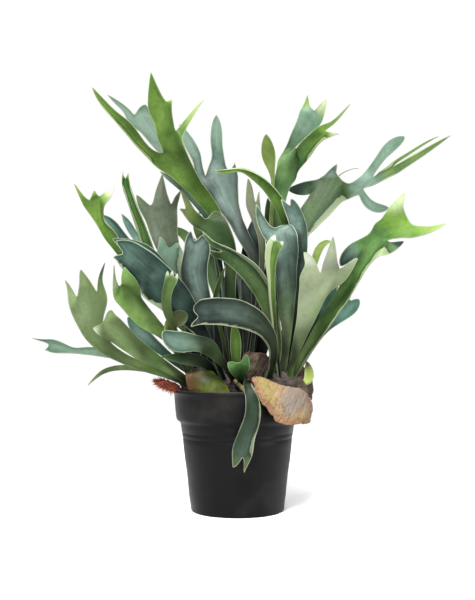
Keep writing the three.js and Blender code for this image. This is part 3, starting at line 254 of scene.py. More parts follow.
# Fronds: stations of [across, up, back, width] in millimetres, as the eye in front of the pot sees
# them in the plane of the pot's axis. A way runs from the foot up, and its tines go on from its end.
# Bays are the notches of a fork, across and up. Turn swings a blade about its midrib, and cup curls
# its edges towards the eye, in degrees from a way's start to its end. Lift makes a blade lighter or
# darker than its tones, and frilled makes its edges wavier. Paint gives the tones at the start and
# end of each way, which the tines that lead to it name, then how strongly a side is painted as turned
# over, less than zero for the left one, and where along the way the first tone turns into the second.
# Ends are the outer ends of a fork's foot, where its bays alone don't place it.
# Lift is partly each blade's own tone and partly painted light and shade, for how lit each blade stands
fronds = {
    "tallLeft": {
        "paint": {"": ("dim", "bright"), "0": ("bright", "bright", -0.5), "100": ("bright", "bright"),
            "101": ("bright", "lime"), "11": ("bright", "lime")}, "lift": 1.07, "cup": [40, 26],
            "turn": [0, 18],
        "way": [[4, 176, -8, 7], [4, 215, -6, 8], [0, 260, -5, 10], [-14, 340, -6, 14], [-30, 393, -10, 17],
            [-50, 420, -20, 20], [-68, 443, -32, 28], [-84, 462, -42, 40]], "bays": [[-98, 475]],
            "tines": [{"way": [[-119, 475, -50, 11], [-133, 491, -56, 13], [-147, 509, -62, 15],
            [-160, 521, -66, 10], [-175, 536, -68, 9], [-187, 551, -70, 6], [-193, 561, -70, 1]]},
            {"way": [[-88, 488, -48, 29]], "bays": [[-82, 503]], "tines": [{"way": [[-97, 512, -54, 24],
            [-103, 535, -58, 31]], "bays": [[-94, 541]], "tines": [{"way": [[-112, 560, -62, 12],
            [-115, 581, -66, 1]]}, {"way": [[-89, 543, -57, 5], [-88, 546, -56, 1]]}]},
            {"way": [[-71, 510, -43, 8], [-64, 520, -40, 6], [-55, 533, -36, 4], [-45, 544, -32, 1]]}]}],
    },
    "greyBehind": {
        "paint": {"": ("grey", "grey")}, "lift": 0.94, "cup": [30, 20], "turn": [0, -14],
        "way": [[-8, 172, 34, 7], [-16, 250, 32, 8], [-24, 320, 31, 10], [-40, 395, 36, 14],
            [-62, 440, 44, 20], [-85, 470, 52, 24], [-106, 492, 60, 25], [-121, 512, 66, 28]],
            "bays": [[-137, 526]], "tines": [{"way": [[-147, 530, 71, 9], [-158, 539, 73, 7],
            [-173, 551, 76, 1]]}, {"way": [[-125, 526, 73, 21], [-123, 534, 77, 13], [-122, 538, 79, 1]]}],
    },
    "blueCentre": {
        "paint": {"": ("dim", "steel"), "0": ("steel", "mist"), "1": ("blue", "mist"),
            "2": ("blue", "blue")}, "lift": 0.92, "cup": [40, 24], "turn": [0, -14],
        "way": [[10, 176, 3, 7], [20, 240, 9, 8], [24, 300, 14, 11], [23, 335, 18, 15], [12, 355, 23, 16],
            [0, 378, 31, 18], [-10, 400, 39, 28], [-20, 428, 47, 40]], "bays": [[-42, 446], [-11, 451]],
            "tines": [{"way": [[-51, 463, 54, 17], [-62, 483, 58, 16], [-70, 498, 62, 12],
            [-77, 512, 64, 1]]}, {"way": [[-26, 468, 60, 16], [-28, 490, 67, 17], [-28, 510, 72, 14],
            [-28, 524, 76, 1]]}, {"way": [[-5, 449, 51, 10], [-4, 461, 55, 1]]}],
    },
    "curledTip": {
        "paint": {"": ("dim", "bright")}, "lift": 1.17, "cup": [40, 50], "turn": [0, 14],
        "way": [[55, 178, -20, 7], [63, 240, -21, 8], [69, 290, -22, 11], [72, 340, -22, 14],
            [68, 374, -22, 15], [60, 397, -24, 15], [48, 418, -28, 14], [34, 434, -34, 12],
            [20, 444, -41, 9], [8, 451, -48, 5], [-6, 451, -56, 4], [-18, 448, -62, 6], [-30, 450, -68, 1]],
    },
    "blueRight": {
        "paint": {"": ("sage", "steel")}, "lift": 1.4, "cup": [50, 30], "turn": [0, -6],
        "way": [[60, 170, -36, 7], [63, 200, -44, 8], [65, 222, -50, 10], [66, 245, -55, 14],
            [65, 275, -60, 22], [65, 310, -64, 27], [64, 340, -66, 32], [60, 360, -66, 39]],
            "bays": [[49, 373]], "tines": [{"way": [[35, 376, -64, 13], [29, 390, -62, 10],
            [25, 406, -60, 1]]}, {"way": [[66, 371, -62, 23], [67, 377, -55, 14], [67, 378, -47, 1]]}],
    },
    "darkRight": {
        "paint": {"": ("dim", "steel")}, "lift": 1.36, "cup": [30, 50], "turn": [0, -18],
        "way": [[66, 172, -27, 7], [72, 230, -36, 8], [80, 290, -41, 12], [84, 340, -43, 17],
            [80, 380, -43, 22], [71, 402, -42, 20]], "tines": [{"way": [[58, 412, -40, 1]]},
            {"way": [[71, 413, -41, 1]]}],
    },
    "paleCurl": {
        "paint": {"": ("moss", "bright", -1.3), "0": ("white", "white"), "1": ("pale", "white")},
            "lift": 1.05, "cup": [50, 70],
        "way": [[56, 172, -40, 5], [54, 190, -52, 5], [52, 207, -64, 5], [49, 245, -78, 6],
            [46, 280, -85, 8], [45, 310, -88, 9], [44, 332, -88, 15], [47, 348, -88, 18]],
            "bays": [[53, 357]], "tines": [{"way": [[47, 358, -86, 8], [50, 365, -84, 1]]},
            {"way": [[57, 353, -85, 6], [61, 356, -82, 1]]}],
    },
    "sageRight": {
        "paint": {"": ("moss", "pale"), "0": ("pale", "white"), "1": ("white", "pale"),
            "2": ("pale", "pale")}, "lift": 0.97, "cup": [40, 24], "turn": [0, -12],
        "way": [[68, 170, -38, 6], [74, 200, -50, 9], [83, 230, -62, 16], [92, 258, -73, 24],
            [99, 285, -82, 34], [105, 302, -88, 44]], "bays": [[111, 311], [136, 321]],
            "tines": [{"way": [[99, 324, -93, 16], [94, 335, -95, 11], [88, 342, -96, 1]]},
            {"way": [[124, 333, -98, 15], [126, 348, -102, 9], [127, 363, -106, 1]]},
            {"way": [[146, 319, -95, 12], [153, 327, -98, 7], [160, 334, -100, 1]]}],
    },
    "greenRight": {
        "paint": {"": ("moss", "green", 0.43), "0": ("grey", "dark"), "1": ("green", "bright"),
            "10": ("bright", "pale"), "11": ("bright", "lime"), "2": ("under", "grey")}, "lift": 1.33,
            "cup": [50, 30], "turn": [0, 20],
        "way": [[70, 170, -33, 6], [88, 204, -42, 11], [105, 232, -51, 15], [122, 258, -60, 17],
            [138, 282, -68, 18], [152, 306, -76, 19], [164, 328, -83, 21], [176, 348, -87, 30]],
            "ends": [[160, 338], [188, 339]], "bays": [[177, 362], [199, 358]],
            "tines": [{"way": [[155, 346, -78, 18], [147, 339, -74, 17], [141, 331, -71, 13],
            [137, 323, -69, 1]]}, {"way": [[198, 371, -97, 36], [207, 379, -100, 42]], "ends": [[189, 385],
            [228, 360]], "bays": [[230, 377]], "tines": [{"way": [[211, 400, -103, 18], [216, 410, -106, 9],
            [222, 421, -108, 1]]}, {"way": [[241, 369, -109, 14], [258, 372, -115, 7],
            [277, 380, -120, 1]]}]}, {"way": [[203, 347, -90, 14], [212, 352, -88, 8],
            [221, 356, -86, 1]]}],
    },
    "archingSage": {
        "paint": {"": ("moss", "under", 0.4)}, "cup": [40, 40], "turn": [0, 14],
        "way": [[49, 176, -38, 7], [54, 205, -51, 8], [53, 225, -57, 11], [46, 258, -66, 18],
            [34, 290, -74, 24], [16, 316, -81, 24], [-3, 332, -86, 20], [-18, 341, -89, 18]],
            "tines": [{"way": [[-30, 337, -91, 10], [-37, 345, -91, 1]]}, {"way": [[-34, 352, -88, 8],
            [-41, 361, -86, 4], [-47, 370, -84, 1]]}],
    },
    "broadUpper": {
        "paint": {"": ("dim", "under", 0.41), "0": ("mist", "mist"), "1": ("blue", "blue"),
            "2": ("under", "grey"), "20": ("grey", "mist"), "200": ("mist", "mist"),
            "201": ("grey", "bright", -0.6), "21": ("blue", "mist")}, "lift": 0.95, "frilled": 1.3,
            "cup": [40, 22], "turn": [0, 16],
        "way": [[60, 174, -12, 8], [69, 215, -7, 9], [73, 260, -2, 12], [75, 330, 8, 18], [84, 370, 18, 26],
            [101, 394, 29, 38], [116, 411, 38, 42]], "ends": [[97, 420], [139, 409]], "bays": [[107, 437],
            [139, 437]], "tines": [{"way": [[88, 425, 46, 19], [79, 425, 50, 14], [67, 425, 53, 1]]},
            {"way": [[124, 447, 50, 13], [129, 453, 55, 7], [132, 459, 56, 1]]},
            {"way": [[148, 424, 38, 18], [156, 428, 36, 13]], "ends": [[153, 434], [161, 419]],
            "bays": [[166, 426]], "tines": [{"way": [[169, 436, 38, 17]], "bays": [[181, 441]],
            "tines": [{"way": [[178, 450, 50, 11], [190, 467, 60, 12], [204, 483, 69, 17],
            [215, 491, 75, 12], [222, 495, 80, 1]]}, {"way": [[190, 443, 31, 15], [203, 450, 28, 14]],
            "bays": [[206, 455]], "tines": [{"way": [[218, 467, 28, 5], [235, 478, 29, 4],
            [251, 488, 30, 3], [267, 496, 31, 1]]}, {"way": [[222, 460, 23, 12], [240, 470, 19, 9],
            [262, 484, 14, 6], [283, 497, 10, 1]]}]}]}, {"way": [[169, 412, 27, 12], [178, 403, 18, 14],
            [190, 399, 10, 13], [201, 401, 4, 1]]}]}],
    },
    "greenUpper": {
        "paint": {"": ("dim", "green"), "0": ("dim", "grey"), "00": ("sage", "bright"),
            "01": ("sage", "pale"), "1": ("green", "bright", 0.5), "10": ("bright", "sage"),
            "11": ("bright", "pale")}, "lift": 1.13, "cup": [40, 30], "turn": [0, -10],
        "way": [[47, 174, -9, 7], [52, 240, -4, 8], [54, 300, -2, 10], [54, 360, 2, 12], [54, 400, 8, 16],
            [59, 430, 14, 22], [67, 449, 19, 32]], "bays": [[80, 484]],
            "tines": [{"way": [[71, 477, 26, 15], [83, 499, 37, 25], [93, 515, 46, 30]],
            "bays": [[102, 531]], "tines": [{"way": [[92, 536, 54, 9], [93, 551, 61, 1]]},
            {"way": [[111, 532, 52, 13], [119, 546, 56, 1]]}]}, {"way": [[80, 463, 16, 21],
            [92, 481, 9, 22], [106, 497, 2, 17]], "bays": [[117, 503]], "tines": [{"way": [[124, 511, 2, 5],
            [136, 523, 2, 4], [150, 539, 2, 1]]}, {"way": [[121, 498, -6, 7], [135, 499, -12, 1]]}]}],
    },
    "smallTip": {
        "paint": {"": ("bright", "lime")}, "lift": 0.84, "cup": [30, 24],
        "way": [[14, 174, 0, 5], [28, 250, 5, 5], [40, 330, 4, 5], [45, 390, -4, 5], [47, 440, -8, 4],
            [45, 453, -10, 9], [41, 470, -13, 20], [39, 485, -18, 15], [38, 499, -22, 1]],
    },
    "paleTip": {
        "paint": {"": ("dim", "pale", 0, 0.7)}, "lift": 0.72, "cup": [40, 40],
        "way": [[13, 176, -9, 6], [24, 250, -4, 6], [32, 320, -2, 7], [32, 360, -3, 9], [26, 384, -5, 13],
            [21, 404, -7, 20]], "tines": [{"way": [[17, 424, -9, 11], [14, 440, -11, 1]]},
            {"way": [[27, 413, -6, 5], [29, 423, -5, 1]]}],
    },
    "darkCentre": {
        "paint": {"": ("dim", "dim")}, "cup": [30, 30], "turn": [0, 15],
        "way": [[14, 172, 36, 6], [30, 240, 34, 7], [42, 300, 31, 9], [45, 340, 28, 12], [44, 375, 24, 17],
            [42, 398, 19, 12], [40, 414, 18, 1]],
    },
    "greenMid": {
        "paint": {"": ("dim", "green"), "0": ("bright", "lime"), "1": ("green", "bright")}, "lift": 0.74,
            "frilled": 1.5, "cup": [50, 30],
        "way": [[-5, 174, -17, 6], [-8, 215, -22, 7], [-10, 255, -26, 12], [-10, 300, -30, 15],
            [-8, 332, -32, 16], [-14, 353, -33, 24], [-28, 368, -34, 38]], "ends": [[-51, 372], [-13, 381]],
            "bays": [[-42, 385]], "tines": [{"way": [[-56, 385, -38, 19], [-63, 394, -38, 13]],
            "bays": [[-69, 400]], "tines": [{"way": [[-72, 398, -39, 5], [-77, 399, -40, 1]]},
            {"way": [[-67, 408, -37, 8], [-71, 416, -35, 6], [-75, 424, -34, 1]]}]},
            {"way": [[-29, 391, -31, 15], [-29, 397, -30, 1]]}],
    },
    "sageMid": {
        "paint": {"": ("dusk", "dusk"), "0": ("grey", "sage"), "2": ("dusk", "sage")}, "lift": 0.85,
            "cup": [40, 30], "turn": [0, 16],
        "way": [[-42, 168, -7, 7], [-44, 210, -9, 8], [-58, 275, -9, 12], [-78, 318, -6, 20],
            [-92, 350, 0, 31], [-99, 378, 8, 40], [-102, 394, 13, 46]], "bays": [[-115, 403], [-88, 403]],
            "tines": [{"way": [[-126, 404, 18, 14], [-131, 412, 21, 8], [-134, 418, 23, 1]]},
            {"way": [[-102, 418, 22, 17], [-101, 430, 26, 11], [-100, 446, 31, 1]]},
            {"way": [[-83, 410, 16, 9], [-75, 424, 20, 1]]}],
    },
    "paleFold": {
        "paint": {"": ("grey", "mist", 0.5)}, "lift": 1.23, "cup": [50, 80],
        "way": [[-46, 170, -15, 6], [-55, 225, -25, 6], [-69, 275, -31, 9], [-80, 298, -34, 17],
            [-87, 318, -35, 27], [-89, 336, -35, 34]], "bays": [[-91, 349]],
            "tines": [{"way": [[-99, 351, -36, 11], [-103, 362, -37, 1]]}, {"way": [[-81, 349, -36, 11],
            [-78, 354, -36, 1]]}],
    },
    "blueMid": {
        "paint": {"": ("dark", "steel")}, "lift": 0.96, "cup": [50, 34], "turn": [0, -8],
        "way": [[-40, 170, -23, 7], [-36, 200, -32, 8], [-37, 232, -41, 12], [-46, 268, -50, 23],
            [-56, 300, -56, 34], [-58, 326, -60, 37], [-54, 341, -61, 32]], "bays": [[-57, 359]],
            "tines": [{"way": [[-63, 362, -61, 9], [-62, 370, -60, 1]]}, {"way": [[-46, 358, -60, 15],
            [-45, 365, -59, 1]]}],
    },
    "darkLeft": {
        "paint": {"": ("dark", "dark", -0.42), "0": ("dark", "dark"), "1": ("dark", "dark")}, "lift": 1.35,
            "frilled": 2.4, "cup": [50, 20], "turn": [0, 14],
        "way": [[-18, 172, -24, 7], [-30, 203, -42, 9], [-45, 232, -57, 16], [-68, 262, -70, 32],
            [-92, 288, -80, 44], [-112, 308, -86, 44], [-128, 325, -90, 42], [-140, 336, -92, 35]],
            "bays": [[-154, 342]], "tines": [{"way": [[-157, 335, -95, 9], [-165, 335, -98, 1]]},
            {"way": [[-151, 351, -92, 14], [-161, 357, -92, 1]]}],
    },
    "upperLeft": {
        "paint": {"": ("blue", "blue")}, "cup": [40, 20], "turn": [0, -10],
        "way": [[-50, 170, -20, 6], [-62, 225, -37, 7], [-76, 280, -49, 8], [-97, 318, -57, 15],
            [-120, 338, -60, 24], [-142, 349, -61, 20], [-158, 356, -61, 9], [-166, 360, -61, 1]],
    },
    "centreBlade": {
        "paint": {"": ("olive", "steel", -0.42, 0.56), "0": ("steel", "dark"), "1": ("dark", "steel")},
            "lift": 0.7, "frilled": 1.5, "cup": [50, 34], "turn": [0, 12],
        "way": [[41, 172, -38, 7], [47, 195, -60, 9], [47, 218, -78, 13], [38, 237, -92, 20],
            [20, 254, -102, 29], [-5, 262, -109, 32], [-28, 263, -113, 33], [-45, 263, -115, 31]],
            "bays": [[-52, 256]], "tines": [{"way": [[-54, 250, -116, 8], [-62, 243, -116, 1]]},
            {"way": [[-53, 268, -115, 18], [-58, 271, -114, 1]]}],
    },
    "toothed": {
        "paint": {"": ("green", "moss"), "0": ("white", "white"), "1": ("white", "white"),
            "2": ("white", "white")}, "lift": 1.08, "cup": [40, 30],
        "way": [[-51, 172, -26, 5], [-58, 194, -34, 5], [-68, 213, -58, 5], [-80, 232, -80, 6],
            [-90, 253, -89, 9], [-95, 272, -93, 12], [-94, 290, -95, 12], [-89, 303, -96, 14]],
            "bays": [[-90, 309], [-84, 308]], "tines": [{"way": [[-93, 311, -96, 5], [-93, 317, -96, 1]]},
            {"way": [[-87, 311, -96, 5], [-87, 317, -96, 1]]}, {"way": [[-81, 309, -97, 5],
            [-80, 314, -97, 1]]}],
    },
    "greenLobe": {
        "paint": {"": ("lime", "lime")}, "lift": 1.95, "cup": [30, 20],
        "way": [[-58, 170, -25, 5], [-66, 194, -35, 5], [-80, 212, -56, 5], [-94, 230, -72, 6],
            [-93, 244, -77, 11], [-84, 252, -79, 24], [-74, 256, -79, 22], [-66, 258, -78, 1]],
    },
    "sageNear": {
        "paint": {"": ("green", "moss"), "0": ("sage", "dusk")}, "lift": 1.62, "frilled": 1.6,
            "cup": [50, 30], "turn": [0, 18],
        "way": [[-62, 171, -19, 6], [-74, 203, -32, 9], [-90, 226, -44, 12], [-110, 243, -56, 18],
            [-128, 257, -71, 31], [-140, 271, -84, 38]], "ends": [[-161, 275], [-129, 283]],
            "bays": [[-156, 298]], "tines": [{"way": [[-162, 295, -93, 9], [-162, 308, -98, 5],
            [-164, 325, -103, 1]]}, {"way": [[-142, 298, -96, 24], [-148, 310, -103, 12],
            [-150, 322, -109, 1]]}],
    },
    "foldLeft": {
        "paint": {"": ("sage", "blue", 0, 0.6)}, "lift": 1.09, "frilled": 2.2, "cup": [50, 40],
            "turn": [0, -16],
        "way": [[-6, 172, -28, 6], [-14, 188, -46, 8], [-29, 205, -66, 14], [-40, 218, -82, 23],
            [-54, 221, -92, 17], [-68, 221, -99, 22], [-82, 223, -103, 30], [-92, 230, -104, 19],
            [-99, 237, -104, 1]],
    },
    "youngGreen": {
        "paint": {"": ("bright", "bright")}, "cup": [40, 30],
        "way": [[0, 174, -26, 6], [-2, 195, -34, 10], [-2, 215, -39, 15], [-3, 235, -42, 12],
            [-5, 248, -43, 1]],
    },
    "smallPair": {
        "paint": {"": ("dim", "dim")}, "lift": 2.1, "cup": [30, 40],
        "way": [[4, 168, -28, 6], [4, 174, -46, 9], [3, 180, -60, 20], [2, 185, -66, 27]],
            "bays": [[3, 194]], "tines": [{"way": [[-7, 191, -69, 12], [-13, 195, -70, 1]]},
            {"way": [[9, 196, -68, 12], [13, 206, -66, 1]]}],
    },
    "darkLance": {
        "paint": {"": ("dim", "green")}, "lift": 1.15, "cup": [40, 30],
        "way": [[-27, 166, -22, 6], [-32, 184, -39, 9], [-45, 196, -51, 15], [-64, 200, -56, 16],
            [-85, 202, -57, 10], [-101, 203, -58, 1]],
    },
    "sageBig": {
        "paint": {"": ("moss", "sage"), "2": ("sage", "dusk")}, "cup": [50, 26], "turn": [0, -14],
        "way": [[-60, 163, -22, 6], [-90, 178, -30, 9], [-120, 188, -40, 11], [-150, 200, -51, 13],
            [-175, 215, -62, 18], [-190, 234, -71, 27], [-196, 254, -79, 36], [-198, 270, -84, 41]],
            "bays": [[-213, 282], [-187, 290]], "tines": [{"way": [[-220, 288, -88, 9],
            [-229, 305, -92, 1]]}, {"way": [[-202, 300, -88, 15], [-207, 312, -90, 7],
            [-208, 319, -92, 1]]}, {"way": [[-184, 301, -84, 6], [-181, 314, -86, 4],
            [-176, 328, -88, 1]]}],
    },
    "sageFront": {
        "paint": {"": ("moss", "sage"), "0": ("sage", "pale")}, "lift": 1.24, "frilled": 1.6,
            "cup": [60, 50], "turn": [0, 16],
        "way": [[-62, 169, -30, 6], [-90, 186, -48, 12], [-115, 202, -64, 18], [-140, 219, -78, 25],
            [-160, 236, -87, 33]], "ends": [[-173, 226], [-156, 254]], "bays": [[-179, 248]],
            "tines": [{"way": [[-184, 239, -91, 12], [-192, 241, -93, 1]]}, {"way": [[-169, 258, -90, 13],
            [-167, 265, -91, 1]]}],
    },
    "blueFar": {
        "paint": {"": ("sage", "grey"), "0": ("blue", "mist"), "1": ("blue", "blue")}, "cup": [30, 24],
            "turn": [0, -14],
        "way": [[-66, 168, -6, 6], [-95, 181, -3, 6], [-120, 190, 1, 7], [-150, 202, 6, 8],
            [-175, 208, 11, 12], [-198, 211, 15, 11], [-218, 211, 19, 6], [-234, 215, 22, 16],
            [-244, 217, 24, 18]], "bays": [[-250, 219]], "tines": [{"way": [[-251, 213, 25, 5],
            [-256, 212, 25, 1]]}, {"way": [[-254, 224, 26, 4], [-263, 225, 27, 2], [-273, 228, 29, 1]]}],
    },
    "thinArch": {
        "paint": {"": ("sage", "sage")}, "lift": 1.08, "cup": [30, 20],
        "way": [[-69, 162, -10, 5], [-83, 175, -16, 5], [-115, 184, -23, 5], [-150, 189, -29, 7],
            [-176, 185, -33, 6], [-187, 177, -34, 4], [-199, 165, -35, 1]],
    },
    "forkLeft": {
        "paint": {"": ("dim", "bright"), "0": ("bright", "lime"), "1": ("bright", "lime"),
            "2": ("lime", "white")}, "lift": 1.17, "cup": [40, 40], "turn": [0, 18],
        "way": [[-56, 172, -12, 6], [-62, 230, -20, 7], [-84, 278, -26, 8], [-112, 303, -32, 9],
            [-140, 324, -38, 10], [-158, 347, -45, 12], [-170, 366, -51, 17], [-181, 379, -55, 9],
            [-187, 392, -60, 16], [-190, 402, -63, 24]], "bays": [[-196, 409], [-183, 416]],
            "tines": [{"way": [[-206, 414, -66, 6], [-217, 433, -71, 1]]}, {"way": [[-190, 416, -65, 7],
            [-190, 424, -67, 1]]}, {"way": [[-173, 418, -60, 11], [-163, 431, -58, 1]]}],
    },
    "darkLobe": {
        "paint": {"": ("dark", "dark")}, "lift": 1.55, "cup": [30, 30],
        "way": [[-50, 166, -2, 6], [-60, 230, -4, 6], [-88, 285, -12, 7], [-118, 325, -20, 8],
            [-142, 350, -23, 10], [-156, 364, -23, 15], [-168, 379, -22, 16], [-180, 392, -20, 1]],
    },
    "narrowGreen": {
        "paint": {"": ("dim", "green", -0.45), "0": ("bright", "lime"), "1": ("bright", "lime")},
            "lift": 1.23, "cup": [50, 80], "turn": [0, 20],
        "way": [[-38, 166, -1, 6], [-50, 230, 0, 7], [-76, 283, -2, 8], [-106, 322, -3, 10],
            [-121, 355, -9, 13], [-130, 380, -17, 12], [-139, 404, -30, 10], [-147, 428, -37, 9]],
            "bays": [[-149, 440]], "tines": [{"way": [[-153, 440, -41, 4], [-151, 449, -42, 1]]},
            {"way": [[-146, 440, -42, 4], [-145, 447, -43, 1]]}],
    },
    "blueBack": {
        "paint": {"": ("blue", "blue")}, "lift": 1.32, "cup": [30, 20],
        "way": [[-16, 168, 36, 6], [-45, 230, 34, 6], [-80, 290, 34, 7], [-112, 330, 38, 8],
            [-137, 365, 45, 10], [-146, 380, 48, 11], [-154, 393, 51, 1]],
    },
    "greyStrip": {
        "paint": {"": ("grey", "grey")}, "lift": 1.18, "cup": [30, 30],
        "way": [[-10, 172, -2, 6], [-15, 250, 2, 6], [-22, 320, 4, 6], [-35, 378, 5, 7], [-52, 403, 5, 7],
            [-75, 428, 4, 8], [-90, 440, 3, 8], [-103, 449, 2, 1]],
    },
    "backLobe": {
        "paint": {"": ("dim", "blue")}, "lift": 1.46, "cup": [30, 20], "turn": [0, -16],
        "way": [[70, 168, -16, 6], [85, 194, -17, 8], [99, 218, -14, 10], [113, 240, -9, 15],
            [127, 256, -5, 25], [139, 268, -3, 32]], "bays": [[151, 279]],
            "tines": [{"way": [[145, 282, 0, 15], [149, 290, 2, 1]]}, {"way": [[156, 273, -2, 15],
            [162, 279, 0, 1]]}],
    },
    "darkBetween": {
        "paint": {"": ("dark", "dark")}, "lift": 1.9, "cup": [30, 30],
        "way": [[71, 170, -24, 6], [88, 210, -33, 9], [106, 246, -41, 15], [119, 273, -46, 22],
            [126, 290, -48, 12], [131, 303, -49, 1]],
    },
    "hookTip": {
        "paint": {"": ("green", "lime")}, "lift": 1.1, "cup": [30, 40],
        "way": [[64, 178, -21, 5], [78, 230, -28, 6], [90, 285, -34, 7], [99, 318, -38, 8],
            [104, 335, -40, 9], [108, 348, -42, 11], [116, 356, -43, 9], [124, 356, -44, 1]],
    },
    "smallPale": {
        "paint": {"": ("cream", "cream")}, "lift": 1.2, "cup": [30, 30],
        "way": [[74, 166, -29, 5], [84, 167, -32, 6], [93, 168, -33, 11], [96, 176, -33, 15],
            [95, 185, -34, 12], [92, 197, -34, 1]],
    },
    "thinSpike": {
        "paint": {"": ("bright", "bright")}, "lift": 0.76, "cup": [40, 40],
        "way": [[-11, 172, -14, 5], [-20, 230, -26, 5], [-31, 270, -33, 5], [-28, 290, -36, 6],
            [-22, 308, -38, 5], [-16, 323, -39, 1]],
    },
    "droopFront": {
        "paint": {"": ("dim", "grey", -0.45, 0.78), "0": ("lime", "sage"), "1": ("grey", "sage")},
            "lift": 0.68, "frilled": 1.6, "cup": [-30, -20],
        "way": [[17, 163, -26, 6], [15, 168, -50, 7], [13, 169, -70, 8], [14, 163, -88, 10],
            [20, 145, -96, 17], [21, 125, -96, 20], [14, 104, -95, 21], [9, 88, -94, 21]],
            "bays": [[7, 67]], "tines": [{"way": [[14, 68, -94, 9], [10, 58, -94, 4], [9, 49, -95, 1]]},
            {"way": [[0, 67, -92, 12], [-6, 56, -91, 1]]}],
    },
    "innerLeft": {
        "paint": {"": ("dim", "dim")}, "cup": [30, 30],
        "way": [[-2, 176, 20, 8], [-5, 215, 16, 18], [-12, 255, 16, 28], [-10, 290, 18, 20],
            [-5, 326, 20, 1]],
    },
    "innerRight": {
        "paint": {"": ("dim", "dark")}, "cup": [30, 30],
        "way": [[24, 176, 22, 8], [32, 215, 18, 18], [38, 252, 18, 26], [37, 290, 20, 20],
            [34, 318, 21, 1]],
    },
    "backTallLeft": {
        "paint": {"": ("dim", "green"), "0": ("green", "bright"), "1": ("green", "lime")},
            "cup": [-50, -30],
        "way": [[-8, 172, 44, 7], [-14, 225, 66, 8], [-24, 280, 88, 13], [-38, 325, 106, 24],
            [-52, 355, 118, 36]], "tines": [{"way": [[-74, 368, 126, 14], [-90, 376, 133, 1]]},
            {"way": [[-54, 378, 126, 15], [-50, 396, 132, 1]]}],
    },
    "backTallRight": {
        "paint": {"": ("dim", "steel"), "0": ("blue", "mist"), "1": ("blue", "blue")}, "cup": [-50, -30],
        "way": [[14, 172, 44, 7], [26, 225, 68, 8], [42, 280, 92, 14], [55, 318, 110, 26],
            [63, 345, 121, 38]], "tines": [{"way": [[55, 372, 128, 15], [52, 394, 134, 1]]},
            {"way": [[80, 362, 129, 15], [92, 378, 137, 1]]}],
    },
    "backFarRight": {
        "paint": {"": ("moss", "sage"), "0": ("sage", "pale"), "1": ("sage", "dusk")}, "cup": [-50, -26],
        "way": [[22, 170, 48, 7], [44, 200, 76, 9], [70, 230, 106, 16], [92, 256, 130, 28],
            [104, 274, 143, 40]], "tines": [{"way": [[98, 296, 151, 16], [96, 312, 158, 1]]},
            {"way": [[120, 284, 152, 15], [134, 296, 162, 1]]}],
    },
    "backFarLeft": {
        "paint": {"": ("dim", "bright", 0.6), "0": ("bright", "lime"), "1": ("green", "bright")},
            "cup": [-50, -26],
        "way": [[-14, 168, 50, 7], [-36, 200, 78, 9], [-62, 235, 108, 16], [-82, 264, 130, 28],
            [-93, 284, 141, 40]], "tines": [{"way": [[-112, 298, 150, 15], [-124, 312, 158, 1]]},
            {"way": [[-90, 306, 150, 16], [-86, 324, 157, 1]]}],
    },
    "backCentre": {
        "paint": {"": ("dark", "steel"), "0": ("steel", "blue"), "1": ("dark", "blue")}, "lift": 0.75,
            "cup": [-50, -30],
        "way": [[6, 176, 50, 8], [8, 215, 78, 14], [10, 250, 106, 26], [10, 280, 128, 38],
            [9, 302, 142, 46]], "tines": [{"way": [[-6, 318, 154, 15], [-13, 334, 161, 1]]},
            {"way": [[22, 320, 154, 15], [27, 338, 161, 1]]}],
    },
    "backLow": {
        "paint": {"": ("moss", "sage"), "0": ("sage", "pale")}, "cup": [-50, -40],
        "way": [[-2, 166, 58, 7], [-6, 180, 92, 9], [-14, 194, 126, 16], [-22, 203, 150, 26],
            [-27, 208, 162, 32]], "tines": [{"way": [[-42, 207, 175, 13], [-51, 206, 186, 1]]},
            {"way": [[-27, 219, 176, 14], [-31, 227, 187, 1]]}],
    },
    "backLowRight": {
        "paint": {"": ("dim", "green"), "0": ("green", "bright")}, "cup": [-50, -34],
        "way": [[14, 166, 58, 7], [30, 184, 90, 9], [50, 203, 122, 17], [66, 216, 146, 30]],
            "tines": [{"way": [[66, 232, 160, 14], [62, 240, 172, 1]]}, {"way": [[84, 222, 156, 14],
            [98, 224, 168, 1]]}],
    },
    "backLowLeft": {
        "paint": {"": ("moss", "pale"), "1": ("pale", "white")}, "cup": [-40, -30],
        "way": [[-12, 164, 54, 6], [-32, 178, 84, 8], [-52, 192, 112, 14], [-68, 204, 132, 24]],
            "tines": [{"way": [[-82, 212, 142, 10], [-92, 214, 154, 1]]}, {"way": [[-68, 222, 144, 11],
            [-66, 234, 154, 1]]}],
    },
    "innerBladeTall": {
        "paint": {"": ("dim", "dark")}, "lift": 0.85, "cup": [40, 20], "turn": [10, 0],
        "way": [[8, 172, 8, 7], [12, 215, 16, 14], [17, 270, 24, 24], [19, 330, 32, 30], [21, 366, 38, 20],
            [22, 388, 42, 1]],
    },
    "innerBladeLow": {
        "paint": {"": ("dim", "dark")}, "lift": 0.6, "cup": [40, 20], "turn": [0, 20],
        "way": [[-8, 170, 6, 7], [-17, 205, 12, 17], [-26, 235, 18, 21], [-32, 260, 22, 13],
            [-35, 276, 24, 1]],
    },
    "innerBladeLeft": {
        "paint": {"": ("dim", "blue")}, "lift": 1.24, "cup": [30, 10], "turn": [0, 15],
        "way": [[-34, 167, 4, 7], [-58, 180, 10, 9], [-82, 196, 18, 10], [-104, 214, 24, 13],
            [-124, 231, 30, 20], [-136, 243, 34, 17], [-146, 256, 36, 1]],
    },
}
